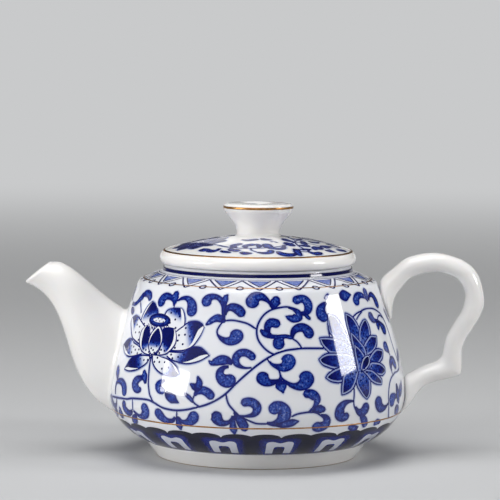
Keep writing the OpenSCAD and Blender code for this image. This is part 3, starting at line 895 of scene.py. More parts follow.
class Brush:
    """Lays painted shapes on a face of the porcelain, one over another. A shape is a grid of
    places on the face, with the strength of the cobalt at each: 0 is bare porcelain, 0.35 a
    thin wash, 0.6 the body of a leaf, OUTLINE a line and 1 the ground of the border."""

    def __init__(self, face):
        self.face, self.count, self.bleeds = face, 0, 0
        self.points, self.normals, self.inks, self.faces = [], [], [], []

    def lay(self, grid, ink, layer, closed=False):
        """One shape: point = face at grid, lifted by LIFT + layer * LAYER."""
        p, n = self.face.at(grid, LIFT + LAYER * layer), self.face.normals(grid)
        faces = grid_faces(*grid.shape[:2], wrap_rows=closed, start=self.count)
        a, b = np.diff(p, axis=0)[:, :-1], np.diff(p, axis=1)[:-1]
        if np.sum(np.cross(a, b) * n[:-1, :-1]) > 0:
            faces = faces[:, ::-1]
        self.points.append(p.reshape(-1, 3))
        self.normals.append(n.reshape(-1, 3))
        self.inks.append(np.broadcast_to(ink, grid.shape[:2]).reshape(-1))
        self.faces.append(faces)
        self.count += p[..., 0].size

    def path(self, points):
        """A smooth line through the places, and how far along it each point lies, in mm."""
        line = through(points, np.linspace(0, len(points) - 1, 16 * len(points)))
        return line, length_along(self.face.at(line[:, :2]))

    def stroke(self, spine, half, ink, layer, v=(-1.0, 0.0, 1.0)):
        """A stroke: the line moved sideways in the face by v * half, v from -1 to 1. Where
        the line bends more tightly than that, its inner edge stays short of the centre."""
        p, n = self.face.at(spine), self.face.normals(spine)
        along = unit(np.gradient(p, axis=0))
        side = np.cross(n, along)
        step = np.linalg.norm(np.gradient(p, axis=0), axis=1)
        bend = np.sum(np.gradient(along, axis=0) * side, 1) / np.maximum(step, 1e-6)
        half = np.broadcast_to(half, (len(spine),))[:, None]
        room = 0.9 / np.maximum(np.abs(bend), 1e-6)[:, None]
        v = np.broadcast_to(v, (len(spine), np.shape(v)[-1]))
        width = np.where(np.sign(bend)[:, None] * v > 0, np.minimum(half, room), half)
        self.lay(self.face.chart(p[:, None] + (v * width)[..., None] * side[:, None]), ink, layer)

    def bleed(self, spine, inner, outer, strength=1.0):
        """The pale edge of a shape, where its cobalt bleeds into the glaze. It lies under every
        coat, a wash from the shape's edge, inner from the spine, to nothing at outer."""
        inner, outer = (np.broadcast_to(half, (len(spine),)) for half in (inner, outer))
        between = inner + 0.35 * (outer - inner)
        v = np.stack([-outer, -between, -inner, inner, between, outer], 1) / outer[:, None]
        self.bleeds += 1
        ink = np.array([0, 0.12, 0.33, 0.33, 0.12, 0]) * np.reshape(strength, (-1, 1))
        self.stroke(spine, outer, ink, -1 - 0.6 * (self.bleeds % 3), v)

    def line(self, points, width, ink, layer, step=0.7):
        """A brush line of even width; a hair line leaves no bleed."""
        line, run = self.path(points)
        at = np.linspace(0, run[-1], max(4, int(run[-1] / step) + 1))
        spine = places_at(at, run, line)
        self.stroke(spine, width / 2, ink, layer)
        if width > 0.4:
            self.bleed(spine, width / 2, width / 2 + BLEED)

    def leaf(self, points, tone, layer):
        """A scroll leaf along a smooth line, from its tail to its head, with half its width at
        each place. Its head closes in a half circle of that width, r * cos(a) at r * sin(a).
        A dark rim 0.36 mm wide follows its edge and fades by 0.8 mm, its tail is dark, and
        small dark touches lie inside it."""
        line, run = self.path(points)
        last = run[-1]
        # The wet brush spreads a little past the width it is given
        half = 1.12 * np.maximum(line[:, 2], 0.05) + 0.12
        r = half[-1]
        ahead = (line[-1, :2] - line[-4, :2]) / (last - run[-4])
        body = np.linspace(0, last, max(8, int(last / 0.5)))
        half = np.interp(body, run, half)
        turn = np.linspace(0, np.pi / 2, 7)[1:]

        def with_head(head):
            """Places along the leaf and a head of that radius, and how far along they are."""
            at, whole = np.append(body, last + head * np.sin(turn)), np.append(run, last + head)
            ends = np.vstack([line[:, :2], line[-1, :2] + head * ahead])
            return at, places_at(at, whole, ends)

        at, spine = with_head(r + BLEED)
        inner = np.sqrt(np.maximum(r**2 - np.maximum(at[len(body):] - last, 0)**2, 0))
        self.bleed(spine, np.append(half, inner),
                   np.append(half + BLEED, (r + BLEED) * np.maximum(np.cos(turn), 0.05)),
                   np.clip((last + r + BLEED - at) / BLEED, 0, 1))
        at, spine = with_head(r)
        half = np.append(half, r * np.maximum(np.cos(turn), 0.05))
        a = np.clip(1 - 0.36 / half, 0.45, 0.95)
        b = np.clip(1 - 0.8 / half, 0.2, 0.85)
        v = np.stack([-1 + 0 * a, -a, -b, -b / 2, 0 * a, b / 2, b, a, 1 + 0 * a], 1)
        rim = np.array([OUTLINE, OUTLINE, 0.68, 0.62, 0.6, 0.62, 0.68, OUTLINE, OUTLINE])
        ends = np.interp(at / at[-1], [0, 0.25, 0.45], [0.88, 0.8, 0.5])
        ends = np.maximum(ends, np.interp(last + r - at, [0.3, 0.75], [0.88, 0.5]))
        self.stroke(spine, half, np.clip(np.maximum(rim, ends[:, None]) + tone, 0, 0.9), layer, v)
        count = int(last / 2.4) if r > 0.8 else 0
        for k in range(count):
            i = int(len(body) * (0.5 + 0.48 * (k + 0.5) / count))
            p = self.face.at(spine[i:i + 2])
            side = np.cross(self.face.normals(spine[i:i + 1])[0], unit(p[1] - p[0]))
            self.dot(self.face.chart(p[0] + 0.35 * (-1) ** k * half[i] * side), 0.3, 0.9,
                     layer + 0.5)

    def dot(self, place, r, ink, layer):
        """A small round touch of the brush: eight sides about the place."""
        k = np.stack(np.meshgrid([-1, 0, 1], [-1, 0, 1], indexing="ij"), -1).reshape(-1, 2)
        k = k / np.maximum(np.linalg.norm(k, axis=1), 1)[:, None] * r
        place = np.asarray(place, float)
        p, n = self.face.at(place[None])[0], self.face.normals(place[None])[0]
        a = unit(np.cross([0, 0, 1.0], n) + [1e-6, 0, 0])
        q = p + k[:, :1] * a + k[:, 1:] * np.cross(n, a)
        self.lay(self.face.chart(q).reshape(3, 3, 2), ink, layer)

    def petal(self, left, right, ink, layer, strips, rim, touches, fold=0.0):
        """A petal between its left and its right edge, both drawn from its foot to its tip, in
        three coats: a dark one, one of strength fold inside that by the rim, and inside that,
        by a strip at its left and its right, the cobalt of ink(u, v), u along it and v across:
        point = left (1 - k) + right k, with k between the two insets. The strips start at the
        share strips[2] of its length, and one alone closes again at the tip, like a fold."""
        (a, run_a), (b, run_b) = self.path(left), self.path(right)
        size = max(run_a[-1], run_b[-1])
        n, wide = max(8, int(size / 0.7)), 9
        alone = min(strips[:2]) == 0
        coats = ((0, 0, OUTLINE), (rim, rim, fold), (rim + strips[0], rim + strips[1], ink))
        for number, (in_left, in_right, value) in enumerate(coats):
            share = np.linspace(0, 1 - 1.5 * min(in_left, in_right) / size, n)
            one, two = (places_at(share * run[-1], run, line)
                        for line, run in ((a, run_a), (b, run_b)))
            grow = np.clip((share - strips[2]) / 0.35, 0, 1)
            if alone:
                grow = grow * np.sin(np.clip((1 - share) / 0.3, 0, 1) * np.pi / 2)
            start, end = (np.minimum(depth, rim) + np.maximum(depth - rim, 0) * grow
                          for depth in (in_left, in_right))
            over = np.maximum(np.linalg.norm(self.face.at(one) - self.face.at(two), axis=1),
                              start + end + 0.1)[:, None]
            start, end = start[:, None] / over, end[:, None] / over
            k = start + (1 - start - end) * np.linspace(0, 1, wide)
            grid = one[:, None] * (1 - k[..., None]) + two[:, None] * k[..., None]
            self.lay(grid, value(share[:, None], k) if callable(value) else value,
                     layer + number)
            if number == 0:
                self.bleed(one, 0.15, 0.8)
                self.bleed(two, 0.15, 0.8)
        for k in range(touches):
            i = int(n * (0.08 + 0.78 * k / touches))
            j = 1 + int((wide - 2) * (0.618 * k + 0.3) % (wide - 2))
            self.dot(grid[i, j], 0.44, 0.92, layer + number + 0.5)

    def piece(self, name, body):
        """All that the brush has laid, as one piece that rides on the body."""
        made = put_mesh(name, np.concatenate(self.points), self.faces,
                        [("ink", np.concatenate(self.inks))], np.concatenate(self.normals))
        finished(made, body, "painted_porcelain", material_of("cobalt"))


def cobalt_underglaze():
    """Cobalt oxide brushed on before the glaze: dark where the brush was loaded, paler and
    mottled where it was wet, with the same clear glaze over it."""
    material = new_material("cobalt_underglaze")
    place, bump = glaze_bump(material)
    ink = add_node(material, "ShaderNodeAttribute", attribute_name="ink")
    # Specks a little under a millimetre, as far above the ink's own strength as below it
    mottle = noise(material, place, 0.7692, 2.0, 0.6)
    spread = add_node(material, "ShaderNodeMath", {0: (mottle, "Fac")}, operation="SUBTRACT")
    spread.inputs[1].default_value = 0.47
    # It mottles in the body of a leaf, less in a thin wash, and hardly at all in an outline
    held = add_node(material, "ShaderNodeMapRange", {"Value": (ink, "Fac")},
                    From_Min=0.25, From_Max=0.55)
    calm = add_node(material, "ShaderNodeMapRange", {"Value": (ink, "Fac")},
                    From_Min=0.74, From_Max=0.86, To_Min=1.0, To_Max=0.12)
    both = add_node(material, "ShaderNodeMath", {0: (held, 0), 1: (calm, 0)},
                    operation="MULTIPLY")
    scaled = add_node(material, "ShaderNodeMath", {0: (spread, 0), 1: (both, 0)},
                      operation="MULTIPLY")
    total = add_node(material, "ShaderNodeMath", {0: (ink, "Fac"), 1: (scaled, 0)},
                     operation="ADD")
    ramp = add_node(material, "ShaderNodeValToRGB", {"Fac": (total, 0)})
    stops = [(0.0, "painted"), (0.35, "cobalt_wash"), (0.6, "cobalt_body"),
             (0.85, "cobalt_line"), (1.0, "cobalt_night")]
    ramp.color_ramp.elements[0].color = paint_of(stops[0][1])
    ramp.color_ramp.elements[1].color = paint_of(stops[-1][1])
    for at, name in stops[1:-1]:
        ramp.color_ramp.elements.new(at).color = paint_of(name)
    shader = add_node(material, "ShaderNodeBsdfPrincipled",
                      {"Base Color": (ramp, "Color"), "Normal": (bump, "Normal")},
                      Roughness=0.06, IOR=1.52)
    add_node(material, "ShaderNodeOutputMaterial", {"Surface": (shader, "BSDF")})
    return material


# The scroll of one half of the pot. Each place is an azimuth in degrees and a height in mm.
# Stems, from end to end, each with its width
STEMS = (
    (0.6, ((-84, 22.6), (-76, 23), (-70, 23.3), (-63.3, 23.7), (-58.7, 24), (-54.5, 24.7),
           (-46, 25.2), (-42, 24.5), (-38.2, 23.2), (-34.3, 22.7), (-30.5, 22.7),
           (-26.6, 23.3), (-22.8, 24.3), (-18.9, 25.5), (-15.1, 27.3), (-11.6, 29.7),
           (-8, 33.2), (-4.2, 36.5), (-0.3, 39.5), (3.7, 42), (7.4, 43.7), (11.2, 44.7),
           (15.1, 45.1), (18.9, 45.3), (27.5, 45))),
    (0.6, ((-46.4, 41), (-46.6, 38), (-46.3, 35), (-45.8, 31.3), (-45.2, 29.3), (-44.5, 27.3),
           (-43.3, 25.7), (-42.2, 24.7))),
    (0.55, ((-13.7, 54.7), (-11, 54.9), (-8, 54.6), (-4.2, 53.8), (-0.7, 52.1))),
    (0.5, ((-13.7, 54.6), (-15.5, 53.7), (-16.8, 51.7), (-17, 50.7), (-16.4, 49.3))),
    (0.55, ((-11.6, 29.6), (-11.2, 27.7), (-10.3, 25.7), (-8.5, 23.8), (-7.4, 22.4),
            (-3.8, 20.7), (-1.8, 19.8), (0.5, 19.2), (6, 19.2))),
    (0.5, ((-23.9, 28.5), (-24.5, 26.8), (-23.6, 25.6), (-21.6, 24.6))),
    (0.45, ((-54.5, 24.6), (-54.5, 22), (-54.8, 20.3))), (0.45, ((-31, 22.7), (-31.4, 20.2))),
    (0.45, ((-67.6, 23.3), (-68.6, 21.6))), (0.45, ((-66.6, 58.4), (-64, 56.5), (-62, 54.6))),
    (0.45, ((-39.9, 59.6), (-40.1, 57.8))),
    (0.55, ((16.5, 58.9), (13, 59.6), (9, 59.3), (5.5, 58.5), (2.5, 56.8), (0.4, 54.2),
            (-0.4, 51.5), (0.2, 48.5), (2.3, 45.9), (4.6, 44.2), (6.6, 43.4))),
    (0.5, ((14.2, 48.8), (16.2, 47.6), (17.4, 46.2), (17.9, 45.2))),
    (0.5, ((3.7, 42), (4.7, 40.7), (6.2, 39.3), (8.2, 38), (8.7, 36.3), (8.3, 34.8))),
    (0.5, ((8.8, 36.4), (9.2, 35.4), (10.4, 34.4))),
    (0.55, ((12.8, 21.7), (14.7, 22.5), (17, 22.9), (19.7, 23.1), (22.4, 22.7), (24.3, 21.7))),
    (0.5, ((45.8, 55), (48, 55.8), (50.5, 56.4), (54.9, 57.1), (58.6, 57.2), (63, 56.8),
           (66.8, 55.7), (69.9, 54.1), (72.1, 51.6), (73.2, 47.7), (73.6, 43), (74.8, 39.3),
           (76, 36), (75.4, 34.2), (72.4, 33.5), (68, 33.2), (63.6, 31.6), (61.1, 28.8),
           (60, 24.9), (60.5, 21.6), (61.8, 18.8), (63.6, 17.1))),
    (0.45, ((47.6, 53.9), (49.7, 55.2), (53, 56.6))),
    (0.45, ((63.8, 52.6), (66, 53.9), (68.4, 54), (70.4, 53))),
    (0.45, ((67.3, 40.4), (65.8, 37), (65.6, 34.3), (66, 32.8))),
    (0.5, ((39.4, 30.4), (39.2, 28), (38.8, 25.6), (39.4, 23.3), (41.8, 20.7))),
    (0.45, ((58.2, 22), (59.6, 22.8), (60.2, 24.4))), (0.5, ((31.2, 52.8), (30.9, 48.8))),
)
# Scroll leaves, from the tail to the head: azimuth, height and half the width there in mm
LEAVES = (
    ((-78, 56.9, .5), (-74, 56.9, .5), (-70.5, 57.6, .7), (-67.8, 59.2, 1), (-66, 60.3, 1.2)),
    ((-66, 60, .6), (-64.6, 61.2, 1), (-61.8, 61.7, 1.1), (-59.3, 61.2, 1.15), (-58.3, 60.4, 1)),
    ((-76, 55.4, .3), (-73.5, 54.8, .9), (-71.4, 54.2, .8)),
    ((-40.3, 58.6, .15), (-41.2, 60.2, .35), (-43.2, 61.4, .8), (-46, 61.7, 1.15),
     (-48, 60.9, 1.55), (-48.7, 59.8, 1.75)),
    ((-40.1, 58.8, .15), (-40.3, 60.4, .9), (-40.8, 61.8, 1.55), (-40.6, 62.6, 1.1)),
    ((-38.9, 60.4, .15), (-37.2, 61.3, .4), (-34.6, 61.7, .65), (-32.2, 61, 1.1),
     (-30.6, 59.4, 1.6), (-30.1, 57.5, 1.78)),
    ((-14.6, 55, .3), (-14.9, 57.3, .6), (-15.1, 59.5, .75), (-16.3, 61.3, .8),
     (-18.6, 62.6, .75), (-21.2, 62.7, 1), (-22.9, 61.9, 1.5), (-23.5, 61.1, 1.7)),
    ((-14.7, 59.8, .5), (-15, 61.6, .95), (-14.6, 62.8, .8), (-14.1, 63.4, .3)),
    ((-14, 56.5, .25), (-13.9, 58.3, .75), (-12.3, 59.3, 1.1), (-10.2, 59.2, 1.35),
     (-8.3, 58.4, 1.5), (-7.3, 57.6, 1.4)),
    ((-13.8, 54.3, .3), (-15.3, 55, 1), (-17.2, 55.5, 1.2), (-19.3, 54.9, .95),
     (-20.8, 53.9, .75), (-21.9, 53.2, .35)),
    ((-16.6, 49.8, .2), (-15.2, 48.7, .55), (-13.2, 47.9, .95), (-11.2, 47.8, 1.4),
     (-9.5, 48.6, 1.95), (-8.7, 49.5, 2.15)),
    ((-9.6, 40, .4), (-11.6, 41, 1.2), (-14, 41.1, 1.55), (-16.3, 40.5, 1.2), (-18, 40, .7),
     (-19, 40.6, .2)),
    ((-2.2, 38.8, .15), (-4.6, 38.7, .25), (-6.6, 39.2, .55), (-8.2, 40.4, 1), (-8.4, 42.2, 1.15),
     (-6.9, 43.7, 1.15), (-4.6, 43.9, 1.15), (-2.7, 43.1, 1.15), (-2.1, 42.6, 1.1)),
    ((-11, 39, .3), (-12.9, 38.6, .6), (-14.2, 37.3, 1.1), (-14.1, 35.7, 1.5), (-12.8, 34.4, 1.9),
     (-11.1, 34, 2.05), (-10.4, 34.2, 1.9)),
    ((-23.6, 30, .6), (-22.6, 31.6, 1.3), (-22.3, 33.2, 1), (-23, 34.8, .35)),
    ((-23.2, 30.6, .7), (-24.4, 31.6, .9), (-25.6, 32.2, .35)),
    ((-23.8, 28.3, .3), (-23, 29.6, .8), (-21, 30.4, 1.2), (-19.2, 30, 1.3), (-17.9, 29.2, 1.35),
     (-17.5, 28.8, 1.3)),
    ((-28.2, 29, .3), (-26.8, 28.1, .55), (-25.4, 27.2, .6), (-24.6, 26.2, .3)),
    ((-48.4, 32.9, .6), (-50.6, 32.4, .85), (-52.6, 31.5, 1.4), (-53.5, 30.1, 1.9),
     (-52.8, 28.8, 1.6), (-51.2, 28.2, 1.1), (-50.4, 28.3, .8)),
    ((-47.2, 30.7, .3), (-47.9, 32.2, 1), (-48.6, 33.6, 1.3), (-48.9, 34.6, .7)),
    ((-37.5, 32.9, .3), (-39.3, 32, .8), (-40.3, 30.7, 1.3), (-39.4, 29.4, 1.3), (-38.2, 29, 1)),
    ((-36.5, 29, .4), (-35.2, 27.6, 1.2), (-33, 26.6, 1.5), (-31.6, 25.9, .7), (-30.6, 25.5, .2)),
    ((-68.9, 29.8, .5), (-69.4, 31.4, 1.2), (-70.2, 32.8, 1.6), (-70.4, 33.4, 1.2)),
    ((-69.7, 24.4, .25), (-70, 27.2, .45), (-68.9, 29, .6), (-66.2, 29.7, .85), (-63.4, 29.4, 1.2),
     (-61.5, 28, 1.6), (-61.1, 26.6, 1.55)),
    ((-68.2, 23.2, .2), (-68.2, 21.8, .3), (-69.6, 20.5, .5), (-72, 19.9, .9), (-74.4, 20.7, 1.5),
     (-75.4, 21.8, 1.6)),
    ((-70, 19.2, .3), (-72, 18, 1), (-74.5, 16.8, 1), (-76, 16, .4)),
    ((-69, 16.2, .4), (-67.2, 17.2, 1.3), (-66, 18.4, 1.2), (-66, 19.4, .7)),
    ((-55.2, 20.3, .3), (-56.8, 19.3, .75), (-58.8, 19.1, 1.25), (-60.6, 19.8, 1.5),
     (-61.3, 21.2, 1.3), (-61, 22, 1.1)),
    ((-54.4, 20.2, .3), (-53, 19.4, .45), (-51, 18.6, .6), (-49, 18.8, 1), (-47.3, 19.9, 1.6),
     (-46.8, 21.2, 1.85), (-47, 21.8, 1.7)),
    ((-53, 18.8, .4), (-54.4, 17.8, 1.1), (-56, 16.4, 1.3), (-57.2, 15.5, .7)),
    ((-32, 20.2, .3), (-33.4, 18.8, .6), (-35.6, 18.5, .85), (-37.6, 19, 1.3), (-39.2, 20.2, 1.7),
     (-39.7, 20.7, 1.65)),
    ((-30.6, 20.2, .3), (-29.4, 18.8, .6), (-27.5, 18.5, .95), (-25.6, 19.2, 1.45),
     (-24.2, 20.6, 1.75), (-24, 21, 1.65)),
    ((-31, 20.6, .4), (-31, 18.6, .8), (-30.9, 17, 1.15), (-30.8, 15.9, .4)),
    ((-9, 21.6, .15), (-10.2, 19.8, .5), (-12.2, 19.1, .95), (-14, 19.7, 1.6), (-15.1, 21, 1.9),
     (-15, 21.3, 1.8)),
    ((-8.8, 22, .4), (-9, 19, .9), (-8.8, 16.9, 1.1), (-8.6, 15.5, .4)),
    ((-8.3, 23.4, .3), (-7.2, 21.6, .9), (-5.8, 19.8, 1.5), (-4.9, 18.2, 1.5), (-4.7, 17.5, 1.1)),
    ((-6.8, 22, .2), (-4.2, 21.9, .3), (-1.6, 22.4, .7), (-.3, 23.6, 1.15), (-.1, 25.2, 1.4),
     (-1.4, 26.6, 1.35), (-3.2, 27, 1.3), (-4.4, 26.8, 1.25)),
    ((6.1, 59.2, .2), (5.2, 61, .4), (3.4, 62.4, .8), (1, 63.2, 1.35), (-1.2, 62.7, 1.9),
     (-2.4, 61.5, 2.1)),
    ((7, 58.9, .7), (7.3, 60.3, 1.2), (7.9, 61.4, 1.6), (8.2, 62, 1.2)),
    ((19, 57.3, .5), (21, 57.3, .8), (22.6, 58.6, 1.25), (22.9, 60.4, 1.4), (21.6, 61.9, 1.35),
     (19.6, 62.3, 1.2), (17.7, 61.9, 1.3)),
    ((20.5, 56.9, .3), (21.6, 56.3, .6), (22.6, 55.5, .45)),
    ((13.5, 59.4, .3), (16, 58.7, .5), (17.8, 57.5, 1), (17.5, 56.2, 1.55), (15.4, 55.5, 1.2),
     (13.2, 56, .7), (12.4, 56.3, .2)),
    ((4.6, 50.4, .5), (4.1, 51.6, .85), (4.2, 53, 1.1), (5.6, 54.2, 1.4), (7.7, 54, 1.35)),
    ((5.6, 49.8, .6), (4, 50.2, 1), (2.6, 50.9, 1), (1.6, 51.4, .5)),
    ((4, 49.8, .7), (7, 49.4, .6), (10, 49.6, .5), (12, 49.5, .6), (13.8, 49.1, .5)),
    ((12.5, 49.3, .3), (10.6, 49.4, .6), (9.4, 48.6, 1.3), (8.6, 47.4, 1.9), (8.5, 47, 1.75)),
    ((14.1, 48.6, .4), (14.4, 50, .65), (15.4, 51.5, 1), (17.4, 52.4, 1.25), (19.6, 52.3, 1.4),
     (21.3, 51.1, 1.65), (21.6, 50.5, 1.7)),
    ((4.6, 41, .2), (5.8, 39.9, .4), (7.8, 39.2, .8), (9.8, 39, 1.4), (11.4, 39.8, 2),
     (12.1, 40.9, 2.3)),
    ((8.2, 34.6, .3), (6.6, 34, .7), (4.6, 33.7, 1.1), (3, 34.3, 1.7), (2.1, 35.2, 2)),
    ((8.6, 34.3, .7), (8.8, 33.1, 1.7), (9.2, 31.9, 1.5), (9.6, 30.4, .3)),
    ((9.6, 34.9, .2), (11.4, 33.5, .5), (13.6, 32.5, .8), (16, 32.4, 1.4), (18, 33.3, 2.1),
     (18.9, 34.7, 2.5)),
    ((3.6, 19.5, .3), (6, 19.2, .8), (8.4, 19.9, 1.5), (9.9, 21.6, 2), (10, 23.6, 2.1),
     (8.6, 25, 1.9), (6.8, 24.9, 2), (6.4, 24.7, 1.8)),
    ((7, 18.7, .4), (9, 18.7, .9), (11.5, 19.1, 1.2), (13.6, 19.6, 1.1), (15.3, 19.9, .3)),
    ((19.4, 23.3, .2), (21.2, 24.5, .45), (22.4, 26, .8), (22.7, 27.6, 1.25), (21.4, 29, 1.5),
     (19.8, 29.6, 1.35), (18.9, 29.6, 1.25)),
    ((20.6, 23.6, .3), (22.4, 24, .9), (24, 24, 1.3), (25, 23.9, .9)),
    ((24.2, 21.9, .3), (26, 21.2, .8), (27, 19.8, 1.3), (26.4, 18.2, 1.7), (24.6, 17.4, 1.75),
     (23.4, 17.6, 1.65)),
    ((32.6, 60.6, .3), (30.6, 59.9, .8), (29, 58.4, 1.5), (28.8, 56.6, 1.9), (29.4, 55.9, 1.7)),
    ((31.9, 61.8, .3), (33, 62.6, .5), (33.9, 63.4, .3)),
    ((40.4, 62.6, .6), (42.2, 62.6, 1.5), (44, 62.6, 1.8), (45.8, 62.7, 1.2), (47.6, 62.7, .3)),
    ((60.6, 59.7, .3), (58.8, 61, .5), (56.8, 61.9, .8), (54.2, 62.2, 1), (51.9, 61.6, 1.3),
     (50.8, 60.4, 1.5)),
    ((60.6, 59.8, .6), (60.1, 61.6, 1.3), (60.2, 63, 1.2)),
    ((61.3, 60, .3), (63, 61.4, .5), (65.5, 61.7, .8), (67.6, 60.7, 1.2), (68.7, 59, 1.6),
     (68.8, 58.4, 1.6)),
    ((63.4, 52.4, .5), (61.2, 52.7, .7), (59.6, 53.4, 1.3), (58.8, 54.4, 1.4)),
    ((63.4, 52.6, .5), (63, 51, 1.1), (62.6, 50, .6)),
    ((63.6, 52.4, .5), (65, 51.6, .7), (66.6, 50.4, 1.3), (67.8, 49.2, 1.8)),
    ((67, 40.6, .2), (66.2, 41.6, .9), (64.9, 43, 1.7)),
    ((65.6, 34.3, .3), (65.6, 36.2, .9), (67, 37.7, 1.2), (69, 37.5, 1.5), (70.3, 36.2, 1.5)),
    ((68, 24.8, .4), (65.8, 25, 1), (63.8, 24.4, 1.9), (63.2, 24, 2.1)),
    ((68.4, 29.4, .3), (68.9, 27, 1.2), (69.3, 25, 1.6), (70, 23.2, 1.1), (70.4, 22.2, .4)),
    ((70, 25, .5), (72.4, 25.8, 1.5), (74.4, 27.2, 1.6), (75.6, 28.6, .8)),
    ((67, 21.2, .5), (69, 20, 1.4), (71.4, 18.9, 1.2), (73, 18.2, .5)),
    ((59.8, 23.4, .2), (58.2, 22.2, .5), (56.4, 21.7, 1), (54.4, 22.1, 1.5), (53.1, 23.2, 1.8),
     (52.7, 24.2, 1.9)),
    ((39, 25.9, .2), (36.9, 26, .4), (34.6, 25.5, .9), (32.7, 23.9, 1.5), (32.4, 21.8, 1.9),
     (33.8, 20.5, 1.5), (35.2, 20.6, 1.3)),
    ((39.5, 23.9, .3), (40.8, 22.2, .8), (42.6, 21.6, 1.3), (44.4, 22.2, 1.7), (45, 23, 1.6)),
    ((42.4, 20.9, .6), (44, 19.6, 1), (45.6, 18, 1.2), (46.8, 16.6, 1)),
    ((43.4, 15.6, .5), (41, 15.8, 1.1), (39, 16.4, .9)),
    ((57, 16, .3), (55.6, 16.6, .8), (53.8, 16.8, 1.2)),
    # Over the roots of spout and handle
    ((-81, 57.6, .3), (-83, 59.6, .9), (-84, 61.4, 1.2)),
    ((-88, 59.6, .3), (-90, 61.6, 1.1), (-91.5, 63, .9)),
    ((76.8, 55.6, .4), (79, 53.6, 1.1), (80.5, 51.6, 1)),
    ((76, 36.6, .3), (78.4, 38.4, 1), (80.4, 39.6, 1)),
)


def shaded(start, end, low, high):
    """Strength of the cobalt in a petal: low at its foot, rising smoothly to high between
    the shares start and end of its length."""
    def ink(u, v):
        """low + (high - low) k^2 (3 - 2 k), with k the share of the way from start to end."""
        k = np.clip((u - start) / (end - start), 0, 1)
        return low + (high - low) * k * k * (3 - 2 * k) + 0 * v
    return ink


# The lotus seen from the side, from its back petals to its front ones: the coat, between
# which shares of its length the cobalt rises to full, the white strips, the dark touches,
# the left and the right edge
SIDE_PETALS = (
    (0, (.34, .66), (.8, 0, .3), 9,
     ((-56, 47), (-60, 50.5), (-60.2, 53.7), (-59.2, 56.2), (-57.5, 58.1), (-55.4, 59.4)),
     ((-49, 49), (-48, 52.5), (-48.6, 55.3), (-49.6, 56.8), (-52.5, 58.7), (-55.4, 59.4))),
    (0, (.45, .8), (0, 1.5, .2), 12,
     ((-41, 49.5), (-44.3, 52.5), (-44.6, 55.4), (-43.3, 57.2), (-40, 58), (-35.8, 58.2)),
     ((-37, 47.8), (-35, 48.6), (-32.3, 51.2), (-32.4, 54.4), (-34.1, 57.2), (-35.8, 58.2))),
    (4, (.42, .72), (0, 1.7, .25), 10,
     ((-55, 50.5), (-60.6, 52.5), (-63.3, 53.3), (-66.8, 53.5), (-69.7, 52.5)),
     ((-55.5, 43.6), (-57.5, 44), (-60.6, 44.7), (-63.7, 45.7), (-67, 48.2), (-70.2, 51),
      (-69.7, 52.5))),
    (4, (.36, .66), (0, 2.6, .4), 12,
     ((-38, 48.5), (-35.6, 50.5), (-33.3, 52), (-30.6, 53.7), (-26.6, 54.2), (-23.9, 53.3),
      (-22.8, 52.2)),
     ((-37, 43), (-32.4, 43.2), (-29.4, 43.8), (-26.9, 45), (-25.2, 47), (-23.7, 49.5),
      (-22.8, 52.2))),
    (7, (.34, .66), (0, 1.2, .4), 9,
     ((-55.2, 43), (-57.5, 43.8), (-60.6, 44.3), (-62.9, 45.3), (-65.4, 45.3), (-68.3, 44.2),
      (-70.8, 42.2)),
     ((-52.5, 40.7), (-55.6, 39.8), (-59.5, 39), (-63.3, 38.8), (-66.8, 39.6), (-70.8, 42.2))),
    (7, (.1, .5), (0, 1.7, .4), 8,
     ((-37, 43), (-32, 43.2), (-29.7, 43.7), (-26.9, 45.3), (-23.3, 45.3), (-20.8, 43.9),
      (-18.9, 42.5)),
     ((-38.5, 41), (-35.6, 39.8), (-30.2, 39), (-26.6, 39.2), (-22.6, 40.4), (-18.9, 42.5))),
    (10, (.2, .55), (0, 1.3, .45), 8,
     ((-46.2, 40.9), (-52.2, 40.6), (-56, 39.9), (-59.1, 39.1), (-60.8, 38), (-62.6, 35.7),
      (-63.8, 34.1)),
     ((-46.2, 40.7), (-48.6, 37.6), (-52.2, 35.5), (-55.2, 34.5), (-59.5, 33.8), (-63.8, 34.1))),
    (10, (.4, .8), (.6, 0, .4), 8,
     ((-42, 40.9), (-37, 40.3), (-33, 38.4), (-30.8, 35.5)),
     ((-46.2, 40.8), (-45.2, 38.2), (-42.4, 35.9), (-38.4, 34.5), (-33.6, 34.2), (-30.8, 35.5))),
    (13, (.22, .5), (1.5, 0, .3), 8,
     ((-47, 40.8), (-51.5, 41), (-54.8, 42.5), (-56.8, 44.8), (-57.5, 47.3), (-56.9, 49.3),
      (-54.3, 51)),
     ((-46.2, 41), (-48.5, 43), (-49.6, 45), (-50.4, 48), (-51.6, 50.2), (-54.3, 51))),
    (13, (.26, .52), (0, 1.3, .3), 10,
     ((-46.2, 41), (-43.4, 42.5), (-42.4, 45), (-42.8, 48), (-43.6, 50.2), (-40.5, 51.2),
      (-37, 51)),
     ((-45.6, 40.8), (-40, 41.3), (-37, 42.8), (-34.9, 45.3), (-34.8, 47.5), (-35.6, 49.4),
      (-37, 51))),
    (16, (.24, .5), (.8, .8, .35), 9,
     ((-46.4, 40.8), (-48.3, 42), (-50, 44), (-50.6, 46), (-50, 48.4), (-48, 50.4), (-46.2, 51.4)),
     ((-46, 40.8), (-43.4, 42.6), (-42, 45), (-41.9, 47), (-42.8, 49), (-44.4, 50.6),
      (-46.2, 51.4))),
)


